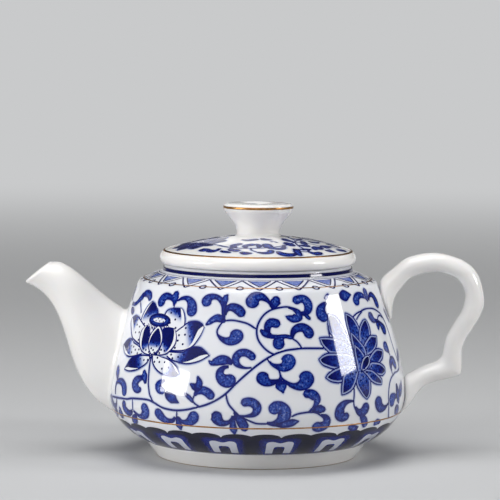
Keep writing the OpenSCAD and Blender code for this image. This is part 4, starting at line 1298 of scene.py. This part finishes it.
def paint_side_lotus(brush):
    """The lotus seen from the side, with its seed pod."""
    for layer, (start, end), strips, touches, left, right in SIDE_PETALS:
        brush.petal(left, right, shaded(start, end, 0.0, 0.91), layer, strips, 0.6, touches)
    a = np.linspace(0, np.pi, 19)
    # The pod in three ovals, each inside the one before: low (1 - v) + top v
    for layer, wide, high, ink in ((3, 6.9, 2.4, 0.9), (4, 5.6, 1.6, 0.72), (5, 3.8, 0.8, 0.05)):
        low, top = (np.stack([-47 - wide * np.cos(a), 53.2 + k * high * np.sin(a)], 1)
                    for k in (-1, 1))
        v = np.linspace(0, 1, 7)[:, None]
        brush.lay(low[:, None] * (1 - v) + top[:, None] * v, ink, layer)
    for k in range(6):
        brush.dot((-50 + 1.15 * k, 53.3 + 0.4 * (-1) ** k), 0.26, 0.9, 6)
    for k in np.linspace(-0.5, 0.5, 12):
        hair = ((-47 + 11.5 * k, 49.6), (-47 + 12.3 * k, 50.5), (-47 + 13 * k, 51.6))
        brush.line(hair, 0.3, 0.85, 6, 0.5)


# The lotus seen from the front, from its back petals to its front ones: the coat, and the
# left and the right edge from foot to tip
FRONT_PETALS = (
    (0, ((38, 43), (33, 48), (30.9, 50.5), (30.8, 53), (32, 57)),
     ((42, 45), (40, 50), (38.5, 53), (36, 56), (32, 57))),
    (0, ((42, 43), (41, 48), (40.6, 51.7), (40.7, 54.5), (41.5, 56.8)),
     ((48.5, 45), (48.3, 49), (48.2, 51.7), (46.2, 54.8), (43.5, 56.3), (41.5, 56.8))),
    (3, ((45, 43), (45.8, 46), (46.5, 48.7), (47.6, 50.7), (49.4, 52.3), (51.8, 53.6),
         (54.1, 53.8)),
     ((52, 44), (54.2, 47), (55.4, 49.6), (55.3, 52), (54.1, 53.8))),
    (3, ((41, 41), (34, 42.5), (30, 43), (28.8, 43.8), (26.7, 46), (25.9, 48.8)),
     ((42, 45), (36, 47.8), (32, 48.7), (28.5, 49), (25.9, 48.8))),
    (6, ((46, 42), (48.5, 45.3), (51.2, 47), (54.1, 48.2), (56.5, 47.9), (59.4, 47.5)),
     ((47, 40.5), (54, 42), (57.4, 44), (58.4, 45.3), (59.4, 47.5))),
    (6, ((42, 38), (36, 37.5), (32, 37.3), (29.7, 37.7), (28.2, 38.2), (25.9, 39.2), (24.4, 41.3)),
     ((43, 41.5), (37, 43), (32, 43.4), (28.8, 43.4), (26.5, 42.7), (24.4, 41.3))),
    (9, ((46, 38.5), (50.6, 41), (52.9, 42.3), (55.9, 43.3), (58.8, 43), (61.5, 42.2)),
     ((46, 36.5), (54, 37), (57.6, 38.3), (59.7, 39.3), (61, 41), (61.5, 42.2))),
    (9, ((43, 35.5), (37, 33.5), (33.2, 32.6), (31.2, 32.7), (28.8, 33.3), (26.6, 34.8)),
     ((43, 38.5), (37, 39), (33.8, 38.5), (30.6, 37.7), (27.9, 36.3), (26.6, 34.8))),
    (12, ((46, 37), (50.6, 38.9), (52.9, 38.9), (56.5, 38.3), (58.8, 37.2), (60.1, 36), (60, 34.5)),
     ((46, 35), (52, 34), (55.9, 33.2), (57.6, 33.4), (60, 34.5))),
    (12, ((42, 36.5), (40.6, 33.5), (40.6, 31.3), (41.8, 29.3), (43.5, 27.3), (45.7, 25.8)),
     ((47.5, 36.5), (48.8, 33.5), (48.8, 31.3), (48.5, 29.3), (47.6, 27.3), (45.7, 25.8))),
    (15, ((40, 38), (34.9, 35.6), (33.8, 33.3), (33.2, 30.7), (33.2, 28.3)),
     ((43.5, 37), (41.7, 33.7), (40.6, 32), (38.8, 30), (35.9, 28.7), (33.2, 28.3))),
    (15, ((46, 37), (50.6, 36.2), (52.9, 35), (55.3, 33.3), (56.4, 32), (55.6, 30.2)),
     ((44.5, 36), (46.8, 34), (48.8, 32), (51.8, 30.7), (55.6, 30.2))),
    (18, ((42, 40), (41.4, 44), (41.3, 48), (42, 50)),
     ((49.4, 40), (49.2, 43), (48.8, 44.3), (45.9, 47.3), (43.6, 49.4), (42, 50))),
    (21, ((42, 36), (41.8, 40), (41.8, 43), (42.6, 45.9)),
     ((47.6, 37), (48, 40), (47.4, 42), (45.3, 44.3), (42.6, 45.9))),
)


def paint_front_lotus(brush):
    """The lotus seen from the front, petals round a small oval middle."""
    for layer, left, right in FRONT_PETALS:
        brush.petal(left, right, shaded(0.15, 0.9, 0.48, 0.94), layer,
                    (0.55, 0.55, -1.0), 0.52, 9, 0.3)
    brush.petal(((44.1, 36), (44, 38), (45.8, 40.4), (48, 41.4), (50.2, 41.2)),
                ((44.1, 36), (46.4, 36.1), (49, 37.3), (50.4, 39), (50.2, 41.2)),
                shaded(0.1, 0.5, 0.66, 0.94), 24, (0.5, 0.5, -1.0), 0.45, 3, 0.25)


def paint_scroll(brush):
    """Stems and scroll leaves of one half."""
    rng = np.random.default_rng(3)
    for width, places in STEMS:
        brush.line(places, 1.15 * width, OUTLINE, 1)
    brush.dot((8.7, 34.6), 0.75, OUTLINE, 1)
    for i, places in enumerate(LEAVES):
        brush.leaf(places, rng.uniform(-0.04, 0.05), 2 + 2 * (i % 3))


class TurnedFace:
    """A face seen with its chart turned about the axis, so that one painting serves twice."""

    def __init__(self, face, turn):
        self.face, self.turn = face, turn

    def at(self, chart, lift=0.0):
        """The face's own point at azimuth + turn."""
        return self.face.at(chart + [self.turn, 0], lift)

    def normals(self, chart):
        """The face's own normal at azimuth + turn."""
        return self.face.normals(chart + [self.turn, 0])

    def chart(self, p):
        """Azimuth less the turn, kept from -180 to 180, and height."""
        places = self.face.chart(p)
        a = (places[..., 0] - self.turn + 180) % 360 - 180
        return np.stack([a, places[..., 1]], -1)


class TEAPOT_OT_scroll(bpy.types.Operator):
    """The lotus scroll round the wall: stems, leaves and two flowers on each side"""
    bl_idname = "teapot.scroll"
    bl_label = "Lotus scroll"

    def execute(self, context):
        face = PotFace(sizes())
        for side, turn in (("front", 0.0), ("back", 180.0)):
            brush = Brush(TurnedFace(face, turn))
            paint_scroll(brush)
            brush.piece(f"scroll_{side}", "pot")
            brush = Brush(TurnedFace(face, turn))
            paint_side_lotus(brush)
            paint_front_lotus(brush)
            brush.piece(f"lotus_flowers_{side}", "pot")
        return {"FINISHED"}


class TEAPOT_OT_borders(bpy.types.Operator):
    """The painted borders: hanging triangles on the shoulder and panels round the foot"""
    bl_idname = "teapot.borders"
    bl_label = "Borders"

    def execute(self, context):
        s = sizes()
        brush = Brush(PotFace(s))
        self.shoulder(brush)
        brush.piece("shoulder_border", "pot")
        brush = Brush(PotFace(s))
        self.foot(brush)
        brush.piece("panel_border", "pot")
        self.neck_line(s)
        return {"FINISHED"}

    def shoulder(self, brush):
        """19 triangles that hang from the neck: a dark line, a white gap, an inner line and a
        grey-blue wash, with a small oval between each two. Above them a thin line and a faint
        broad one run round the neck.
        A side is corner (1 - t) + tip t; an oval is its middle + (w cos t, h sin t)."""
        count, first = 19, 0.8      # triangles, and the azimuth of the first one's tip
        top, oval_z = 68.0, 65.75
        wash_top, wash_low, wash_half = 67.75, 66.45, 5.6
        a = np.linspace(0, 360, 361)[:-1]
        for z, half, ink in ((68.15, 0.16, 0.8), (68.62, 0.5, 0.12)):
            ring = np.stack([np.stack([a, 0 * a + z + d], 1) for d in (-half / 3, 0, half / 3)], 1)
            brush.lay(ring, ink, 2, True)
        pitch = 360 / count
        t = np.linspace(0, 1, 14)[:, None]
        turn = np.linspace(0, 2 * np.pi, 21)[:-1]
        v = np.linspace(0, 1, 7)[:, None]
        u = np.linspace(0, 1, 9)[:, None, None]
        for k in range(count):
            m = first + pitch * k
            left, right, point = np.array([[m - wash_half, wash_top],
                                           [m + wash_half, wash_top], [m, wash_low]])
            base = left * (1 - v) + right * v
            brush.lay(base[None] * (1 - u) + point * u, 0.43, 1)
            brush.lay(np.stack([base + [0, 0.1], base - [0, 0.02]]), 0.72, 2)
            for reach_x, tip_z, half in ((9.45, 65.25, 0.33), (6.3, 66.2, 0.27)):
                for x in (-reach_x, reach_x):
                    corner, tip = np.array([[m + x, top - 0.05], [m, tip_z]])
                    brush.stroke(corner * (1 - t) + tip * t, half, 0.9, 3)
            middle = np.array([m + pitch / 2, oval_z])
            for grow, ink, layer in ((1.0, 0.92, 4), (0.55, 0.1, 5)):
                oval = middle + grow * np.stack([2.0 * np.cos(turn), 0.6 * np.sin(turn)], 1)
                brush.lay(np.stack([oval, middle + 0 * oval], 1), ink, layer, True)

    def foot(self, brush):
        """15 panels round the foot, each with two humps along its top, on a nearly black
        ground with a blue glow round a pale arch. With k from 0 in the middle of a panel to 1
        at its joint, the top edge is at 13.55 + 1.55 sqrt(1 - 0.9 (2 k - 1.06)^2)."""
        count, first, low = 15, 9.8, 6.2    # panels, azimuth of the first, lower edge
        pitch = 360 / count
        a = np.arange(0, 360, 0.75)
        x = np.abs((a - first + pitch / 2) % pitch - pitch / 2)
        k = x / (pitch / 2)
        top = 13.55 + 1.55 * np.sqrt(np.clip(1 - 0.9 * (2 * k - 1.06)**2, 0, 1))
        v = np.linspace(0, 1, 13)
        z = low + (top[:, None] - low) * v
        x = x[:, None]
        # The glow fades over 3.4 from an arch 6.2 degrees to each side and up to 12 mm
        away = np.hypot(np.maximum(x - 6.2, 0), np.maximum(z - 12.0, 0) * 1.9)
        to_edge = np.minimum((top[:, None] - z) * 1.6, pitch / 2 - x)
        glow = np.clip(1 - away / 3.4, 0, 1) * np.clip(to_edge / 1.6, 0, 1)
        inside = (x < 2.6) & (z < 9.6)
        ink = 0.99 - 0.24 * glow**1.1 + np.where(inside, 0.2, 0)
        brush.lay(np.stack([a[:, None] + 0 * v, z], -1), np.clip(ink, 0, 1), 1, True)

        def arch(m, half):
            """Both sides of an arch about the azimuth m, from the right one's places."""
            return [(m - x, z) for x, z in half[:0:-1]] + [(m + x, z) for x, z in half]

        outer = ((0, 11.5), (3.2, 12.1), (5.5, 11.6), (5.8, 9.5), (5.8, 7.0))
        inner = ((0, 10), (1.3, 10), (2.3, 9.6), (2.5, 8.4), (2.5, 7.0))
        t = np.linspace(0, 8, 49)
        w = np.linspace(0, 1, 5)[:, None]
        for n in range(count):
            m = first + pitch * n
            one, two = through(arch(m, outer), t), through(arch(m, inner), t)
            brush.lay(one[:, None] * (1 - w) + two[:, None] * w, 0.07, 3)

    def neck_line(self, s):
        """A solid cobalt band round the foot of the neck, sunk 0.1 mm into it."""
        z = neck_foot(s)
        k = np.linspace(0, 1, 5)[:, None]
        face = [s.neck_r + 0.5, z - 0.15] * (1 - k) + [s.neck_r + 0.05, z + 1.3] * k
        back = [[s.neck_r - 0.1, z + 1.2], [s.neck_r - 0.1, z]]
        ring = turned("neck_line", np.concatenate([face, back])[::-1])
        values = np.full(len(ring.data.vertices), 0.93, np.float32)
        ring.data.attributes.new("ink", "FLOAT", "POINT").data.foreach_set("value", values)
        finished(ring, "pot", "painted_porcelain", material_of("cobalt"))


# The lid's scroll, in mm from above; the front is -y. Stems, each with its width
LID_STEMS = (
    (0.55, ((-17, -15), (-13.6, -19.6), (-12.6, -21), (-8, -24.4), (-2.6, -25.4), (3, -24.6),
            (9, -21), (12, -16), (13.3, -13.3))),
    (0.55, ((13.3, -13.3), (14.2, -17), (15.6, -20), (18.3, -23.3), (20, -24.4))),
    (0.5, ((13.3, -13.3), (16, -12), (19.4, -11.6), (23, -12.8), (27, -15.6))),
    (0.5, ((13.3, -13.3), (14.2, -9), (17, -6.4), (20.4, -5.8))),
    (0.5, ((22.4, -12.6), (25, -8.8), (28.4, -8), (30.4, -9.4))),
    (0.5, ((-2.6, -25.4), (-2.4, -27.6), (-0.3, -29.8))),
    (0.5, ((4.4, -16.6), (5.6, -15.4), (7, -17))),
    (0.5, ((12.4, -26.6), (15, -25.4), (17.4, -24.6), (18.4, -22.6), (19, -20.8))),
    (0.5, ((13.6, -9.6), (11.6, -5.6), (11, -2), (12.4, 2))),
    (0.5, ((20.4, -5.8), (22.4, -2.4), (22.6, 2), (20.6, 6))),
)
# Leaves, from the tail to the head: x, y and half the width there
LID_LEAVES = (
    ((9, -19.5, .3), (9.4, -22, .6), (8.6, -24.6, .9), (6, -25, 1), (3.8, -23.4, 1.6),
     (3.1, -21, 1.5)),
    ((-0.3, -29.8, .4), (1.9, -30.5, .8), (4.2, -29.8, 1), (4.6, -28, 1)),
    ((-6.4, -29.2, .4), (-4.7, -30.6, 1.2), (-3, -30.8, .6)),
    ((14, -27.4, .5), (13, -29.4, 1), (10.8, -30.6, 1.4), (8.6, -30.2, 1.4), (7.4, -28.8, .9)),
    ((13.8, -22.8, 1.1), (14.1, -26, 1.2), (14.8, -29, 1)),
    ((19.2, -20.4, .3), (17.8, -21.4, .8), (16.2, -22.6, .9)),
    ((22.6, -21.6, .5), (22, -23.4, 1.1), (20.6, -24.8, 1.4), (19, -24.4, .8)),
    ((9.4, -8.2, .5), (10.2, -11, 1.3), (12, -12.6, 1), (13.4, -13, .4)),
    ((10, -15, .4), (10.8, -17, 1.5), (12, -18.6, 1.3)),
    ((16.4, -8.6, .5), (16.5, -11, 1.1), (16.9, -13.8, 1)),
    ((18.8, -15.2, .3), (17.4, -16.6, 1.3), (15.8, -17.4, .8)),
    ((23.4, -14.6, .8), (21.8, -16.4, 1.7), (20.7, -18.4, 1.2), (20.6, -19.8, .5)),
    ((24.2, -17.8, .4), (26, -17.2, 1.1), (27.4, -16.4, .7)),
    ((19, -8.6, .8), (20.6, -6.6, 1.4), (21.6, -4.8, .8)),
    ((27, -7.4, .4), (25.6, -9.4, 1), (24.4, -11.6, 1.5), (23.4, -13, .9)),
    ((31.8, -7.4, .5), (30.8, -9.8, 1.2), (29.4, -11.6, .7)),
    ((16, -3.8, .4), (14.6, -6, 1.1), (12.6, -6.4, .8)),
    ((25, -4.6, .4), (27.4, -3.4, 1.2), (29.6, -4, .8)),
    ((11, -2, .4), (9, -1, 1), (9.6, 1.4, 1.1)), ((22.6, 0, .4), (24.8, 1, 1.2), (26.4, -.4, .9)),
    ((15, .6, .4), (17, -1, 1.2), (18.6, .6, 1)),
    ((-20.8, -20.4, .9), (-19.4, -22.4, 1.5), (-17.6, -23.8, .8)),
    ((-13.8, -23, .4), (-14.8, -24.8, .8), (-16.4, -25.2, 1.3), (-17.6, -24.6, 1)),
    ((-13.6, -26, .3), (-12.2, -27.6, .8), (-10.4, -28.8, .5)),
    ((-9.4, -23.4, .4), (-9.8, -26, 1), (-7.8, -27.4, 1.2)),
    ((-8, -24.2, .4), (-9, -21.4, 1.1), (-7, -19.6, 1.1)),
    ((-4.4, -25.4, .4), (-4.6, -22.4, 1), (-2.4, -21, 1.2)),
    ((0, -25.2, .4), (.4, -22.4, .9), (-.6, -20.6, .7)),
    ((-6, -12.6, .4), (-3.6, -14.2, 1.1), (-1, -13, 1)),
    ((1.6, -10.8, .4), (2, -12.6, 1.1), (4, -13.2, .8)),
)


def paint_lid_flower(brush, middle):
    """A flower seen from above: nine long petals, five short ones over them and a round
    middle. An edge of a petal is middle + u size ahead + w half to its side."""
    edge = ((0.12, 0.3), (0.4, 0.95), (0.7, 0.85), (0.9, 0.4), (1.0, 0.0))
    for size, half, count, turn, layer in ((10.4, 3.7, 9, 15, 8), (5.8, 2.4, 5, 0, 20)):
        for i in range(count):
            a = math.radians(turn + 360 / count * i)
            ahead = np.array([math.cos(a), math.sin(a)])
            side = np.array([-math.sin(a), math.cos(a)])
            left, right = [[middle + u * size * ahead + w * half * k * side for u, w in edge]
                           for k in (-1, 1)]
            # Painted shade: the petals start dark at the foot (0.68), darker than the wall's lotus,
            # against the pale reflection on the dome
            brush.petal(left, right, shaded(0.1, 0.7, 0.68, 0.92), layer + 3 * (i % 3),
                        (0.16, 0.16, -1.0), 0.3, 5, 0.3)
    brush.dot(middle, 1.3, 0.0, 30)
    brush.dot(middle, 0.9, 0.95, 31)


class TEAPOT_OT_lid_painting(bpy.types.Operator):
    """The lotus scroll on the lid, the same on its front and its back"""
    bl_idname = "teapot.lid_painting"
    bl_label = "Lid painting"

    def execute(self, context):
        brush = Brush(LidFace(sizes()))
        for sign in (1.0, -1.0):
            for width, places in LID_STEMS:
                brush.line(self.facing(places, sign), 1.2 * width, 0.88, 1)
            # Painted shade: each lid leaf takes 0.07 more cobalt than the wall's, to darken it
            # against the pale reflection on the dome
            for i, places in enumerate(LID_LEAVES):
                brush.leaf(self.facing(places, sign), 0.07, 2 + 2 * (i % 3))
            paint_lid_flower(brush, sign * np.array([-21.0, -8.5]))
        brush.piece("lid_scroll", "lid")
        return {"FINISHED"}

    def facing(self, places, sign):
        """The places as they are for a sign of 1, or half a turn round for -1."""
        return [(sign * x, sign * y, *width) for x, y, *width in places]


# ---- stage ------------------------------------------------------------------------------------

def soft_light(name, place, aim, width, height, power):
    """A rectangular softbox that faces the point aim; sizes in metres, power in watts."""
    data = bpy.data.lights.new(name, "AREA")
    data.shape, data.size, data.size_y, data.energy = "RECTANGLE", width, height, power
    lamp = bpy.data.objects.new(name, data)
    lamp.location = place
    lamp.rotation_euler = (Vector(aim) - Vector(place)).to_track_quat("-Z", "Y").to_euler()
    bpy.context.scene.collection.objects.link(lamp)


def plain_paper():
    """Matt paper; far from the pot the camera sees its colour as if evenly lit."""
    material = new_material("matte_paper")
    paper = add_node(material, "ShaderNodeBsdfPrincipled", Base_Color=paint_of("floor"),
                     Roughness=0.9)
    even = add_node(material, "ShaderNodeEmission", Color=paint_of("floor"), Strength=1.0)
    place = add_node(material, "ShaderNodeTexCoord")
    away = add_node(material, "ShaderNodeVectorMath", {0: (place, "Object")}, operation="LENGTH")
    far = add_node(material, "ShaderNodeMapRange", {"Value": (away, "Value")},
                   interpolation_type="SMOOTHSTEP", From_Min=0.2, From_Max=1.8)
    rays = add_node(material, "ShaderNodeLightPath")
    either = add_node(material, "ShaderNodeMath", {0: (rays, "Is Camera Ray"),
                                                   1: (rays, "Is Glossy Ray")},
                      operation="MAXIMUM")
    seen = add_node(material, "ShaderNodeMath", {0: (either, 0),
                                                 1: (rays, "Is Transmission Ray")},
                    operation="MAXIMUM")
    share = add_node(material, "ShaderNodeMath", {0: (far, 0), 1: (seen, 0)},
                     operation="MULTIPLY")
    mixed = add_node(material, "ShaderNodeMixShader", {0: (share, 0), 1: (paper, 0),
                                                       2: (even, 0)})
    add_node(material, "ShaderNodeOutputMaterial", {"Surface": (mixed, "Shader")})
    return material


class TEAPOT_OT_stage(bpy.types.Operator):
    """Floor, backdrop, soft studio lights and the camera"""
    bl_idname = "teapot.stage"
    bl_label = "Stage"

    def execute(self, context):
        scene = context.scene
        scene.view_settings.view_transform = "Standard"
        self.floor()
        self.lights(scene)
        self.camera(scene)
        return {"FINISHED"}

    def floor(self):
        """A round flat floor whose rim runs up into a low backdrop."""
        flat_r, rise_r = 2200, 1200
        line = np.concatenate([np.linspace([0, 0], [flat_r, 0], 24)[:-1],
                               arc([flat_r, rise_r], rise_r, -90, -50, 30)])
        floor = turned("floor", line, 96, closed=False)
        floor.data.materials.append(plain_paper())

    def lights(self, scene):
        """A faint even light and softboxes that all face the middle of the pot."""
        world = bpy.data.worlds.new("studio")
        scene.world = world
        world.use_nodes = True
        background = world.node_tree.nodes["Background"]
        background.inputs["Color"].default_value = (1, 1, 1, 1)
        background.inputs["Strength"].default_value = 0.08
        middle = 0.05
        # Azimuth and height in degrees, distance, width and height in metres, and watts
        for name, azimuth, rise, away, width, tall, power in (
                ("side_softbox", 76.5, 19.0, 1.0, 0.27, 0.28, 3.8),
                ("left_softbox", -66.0, 8.0, 1.0, 0.42, 0.22, 4.0),
                ("key_softbox", -30.0, 57.0, 1.0, 0.8, 0.8, 4.1),
                ("fill_softbox", -38.0, 14.0, 2.2, 2.6, 1.6, 5.1),
                ("top_softbox", 0.0, 85.0, 0.9, 0.6, 0.6, 3.8),
                ("back_softbox", -177.4, 17.0, 1.2, 0.12, 0.32, 0.1)):
            a, e = math.radians(azimuth), math.radians(rise)
            place = (away * math.cos(e) * math.sin(a), -away * math.cos(e) * math.cos(a),
                     middle + away * math.sin(e))
            soft_light(name, place, (0, 0, middle), width, tall, power)

    def camera(self, scene):
        """A long lens about a metre away, looking down by pitch and tilted by roll."""
        data = bpy.data.cameras.new("camera")
        data.lens, data.sensor_width, data.clip_start, data.clip_end = 192.2, 36.0, 0.05, 20.0
        camera = bpy.data.objects.new("camera", data)
        camera.location = (-0.00295, -0.985, 0.157)
        pitch, roll = math.radians(4.699), math.radians(0.5)
        ahead = Vector((0, math.cos(pitch), -math.sin(pitch)))
        turn = ahead.to_track_quat("-Z", "Y").to_matrix()
        camera.rotation_euler = (turn @ Matrix.Rotation(roll, 3, "Z")).to_euler()
        scene.collection.objects.link(camera)
        scene.camera = camera


# ---- panel and order of work ------------------------------------------------------------------

STEPS = (TEAPOT_OT_stage, TEAPOT_OT_pot, TEAPOT_OT_foot, TEAPOT_OT_neck, TEAPOT_OT_spout,
         TEAPOT_OT_handle, TEAPOT_OT_lid, TEAPOT_OT_gold, TEAPOT_OT_scroll, TEAPOT_OT_borders,
         TEAPOT_OT_lid_painting)


class TEAPOT_PT_panel(bpy.types.Panel):
    """Lists the pieces and their sizes and colours"""
    bl_idname = "TEAPOT_PT_panel"
    bl_label = "Teapot"
    bl_space_type = "VIEW_3D"
    bl_region_type = "UI"
    bl_category = "Teapot"

    def draw(self, context):
        column = self.layout.column()
        for group in (context.scene.teapot_sizes, context.scene.teapot_colours):
            for name in type(group).__annotations__:
                column.prop(group, name)
        for step in STEPS:
            column.operator(step.bl_idname)


CLASSES = (TeapotSizes, TeapotColours, *STEPS, TEAPOT_PT_panel)


def register():
    for cls in CLASSES:
        bpy.utils.register_class(cls)
    bpy.types.Scene.teapot_sizes = bpy.props.PointerProperty(type=TeapotSizes)
    bpy.types.Scene.teapot_colours = bpy.props.PointerProperty(type=TeapotColours)


def unregister():
    del bpy.types.Scene.teapot_colours
    del bpy.types.Scene.teapot_sizes
    for cls in reversed(CLASSES):
        bpy.utils.unregister_class(cls)


def main():
    register()
    for step in STEPS:
        group, name = step.bl_idname.split(".")
        if getattr(getattr(bpy.ops, group), name)() != {"FINISHED"}:
            raise RuntimeError(f"{step.bl_label} was not finished")


if __name__ == "__main__":
    main()
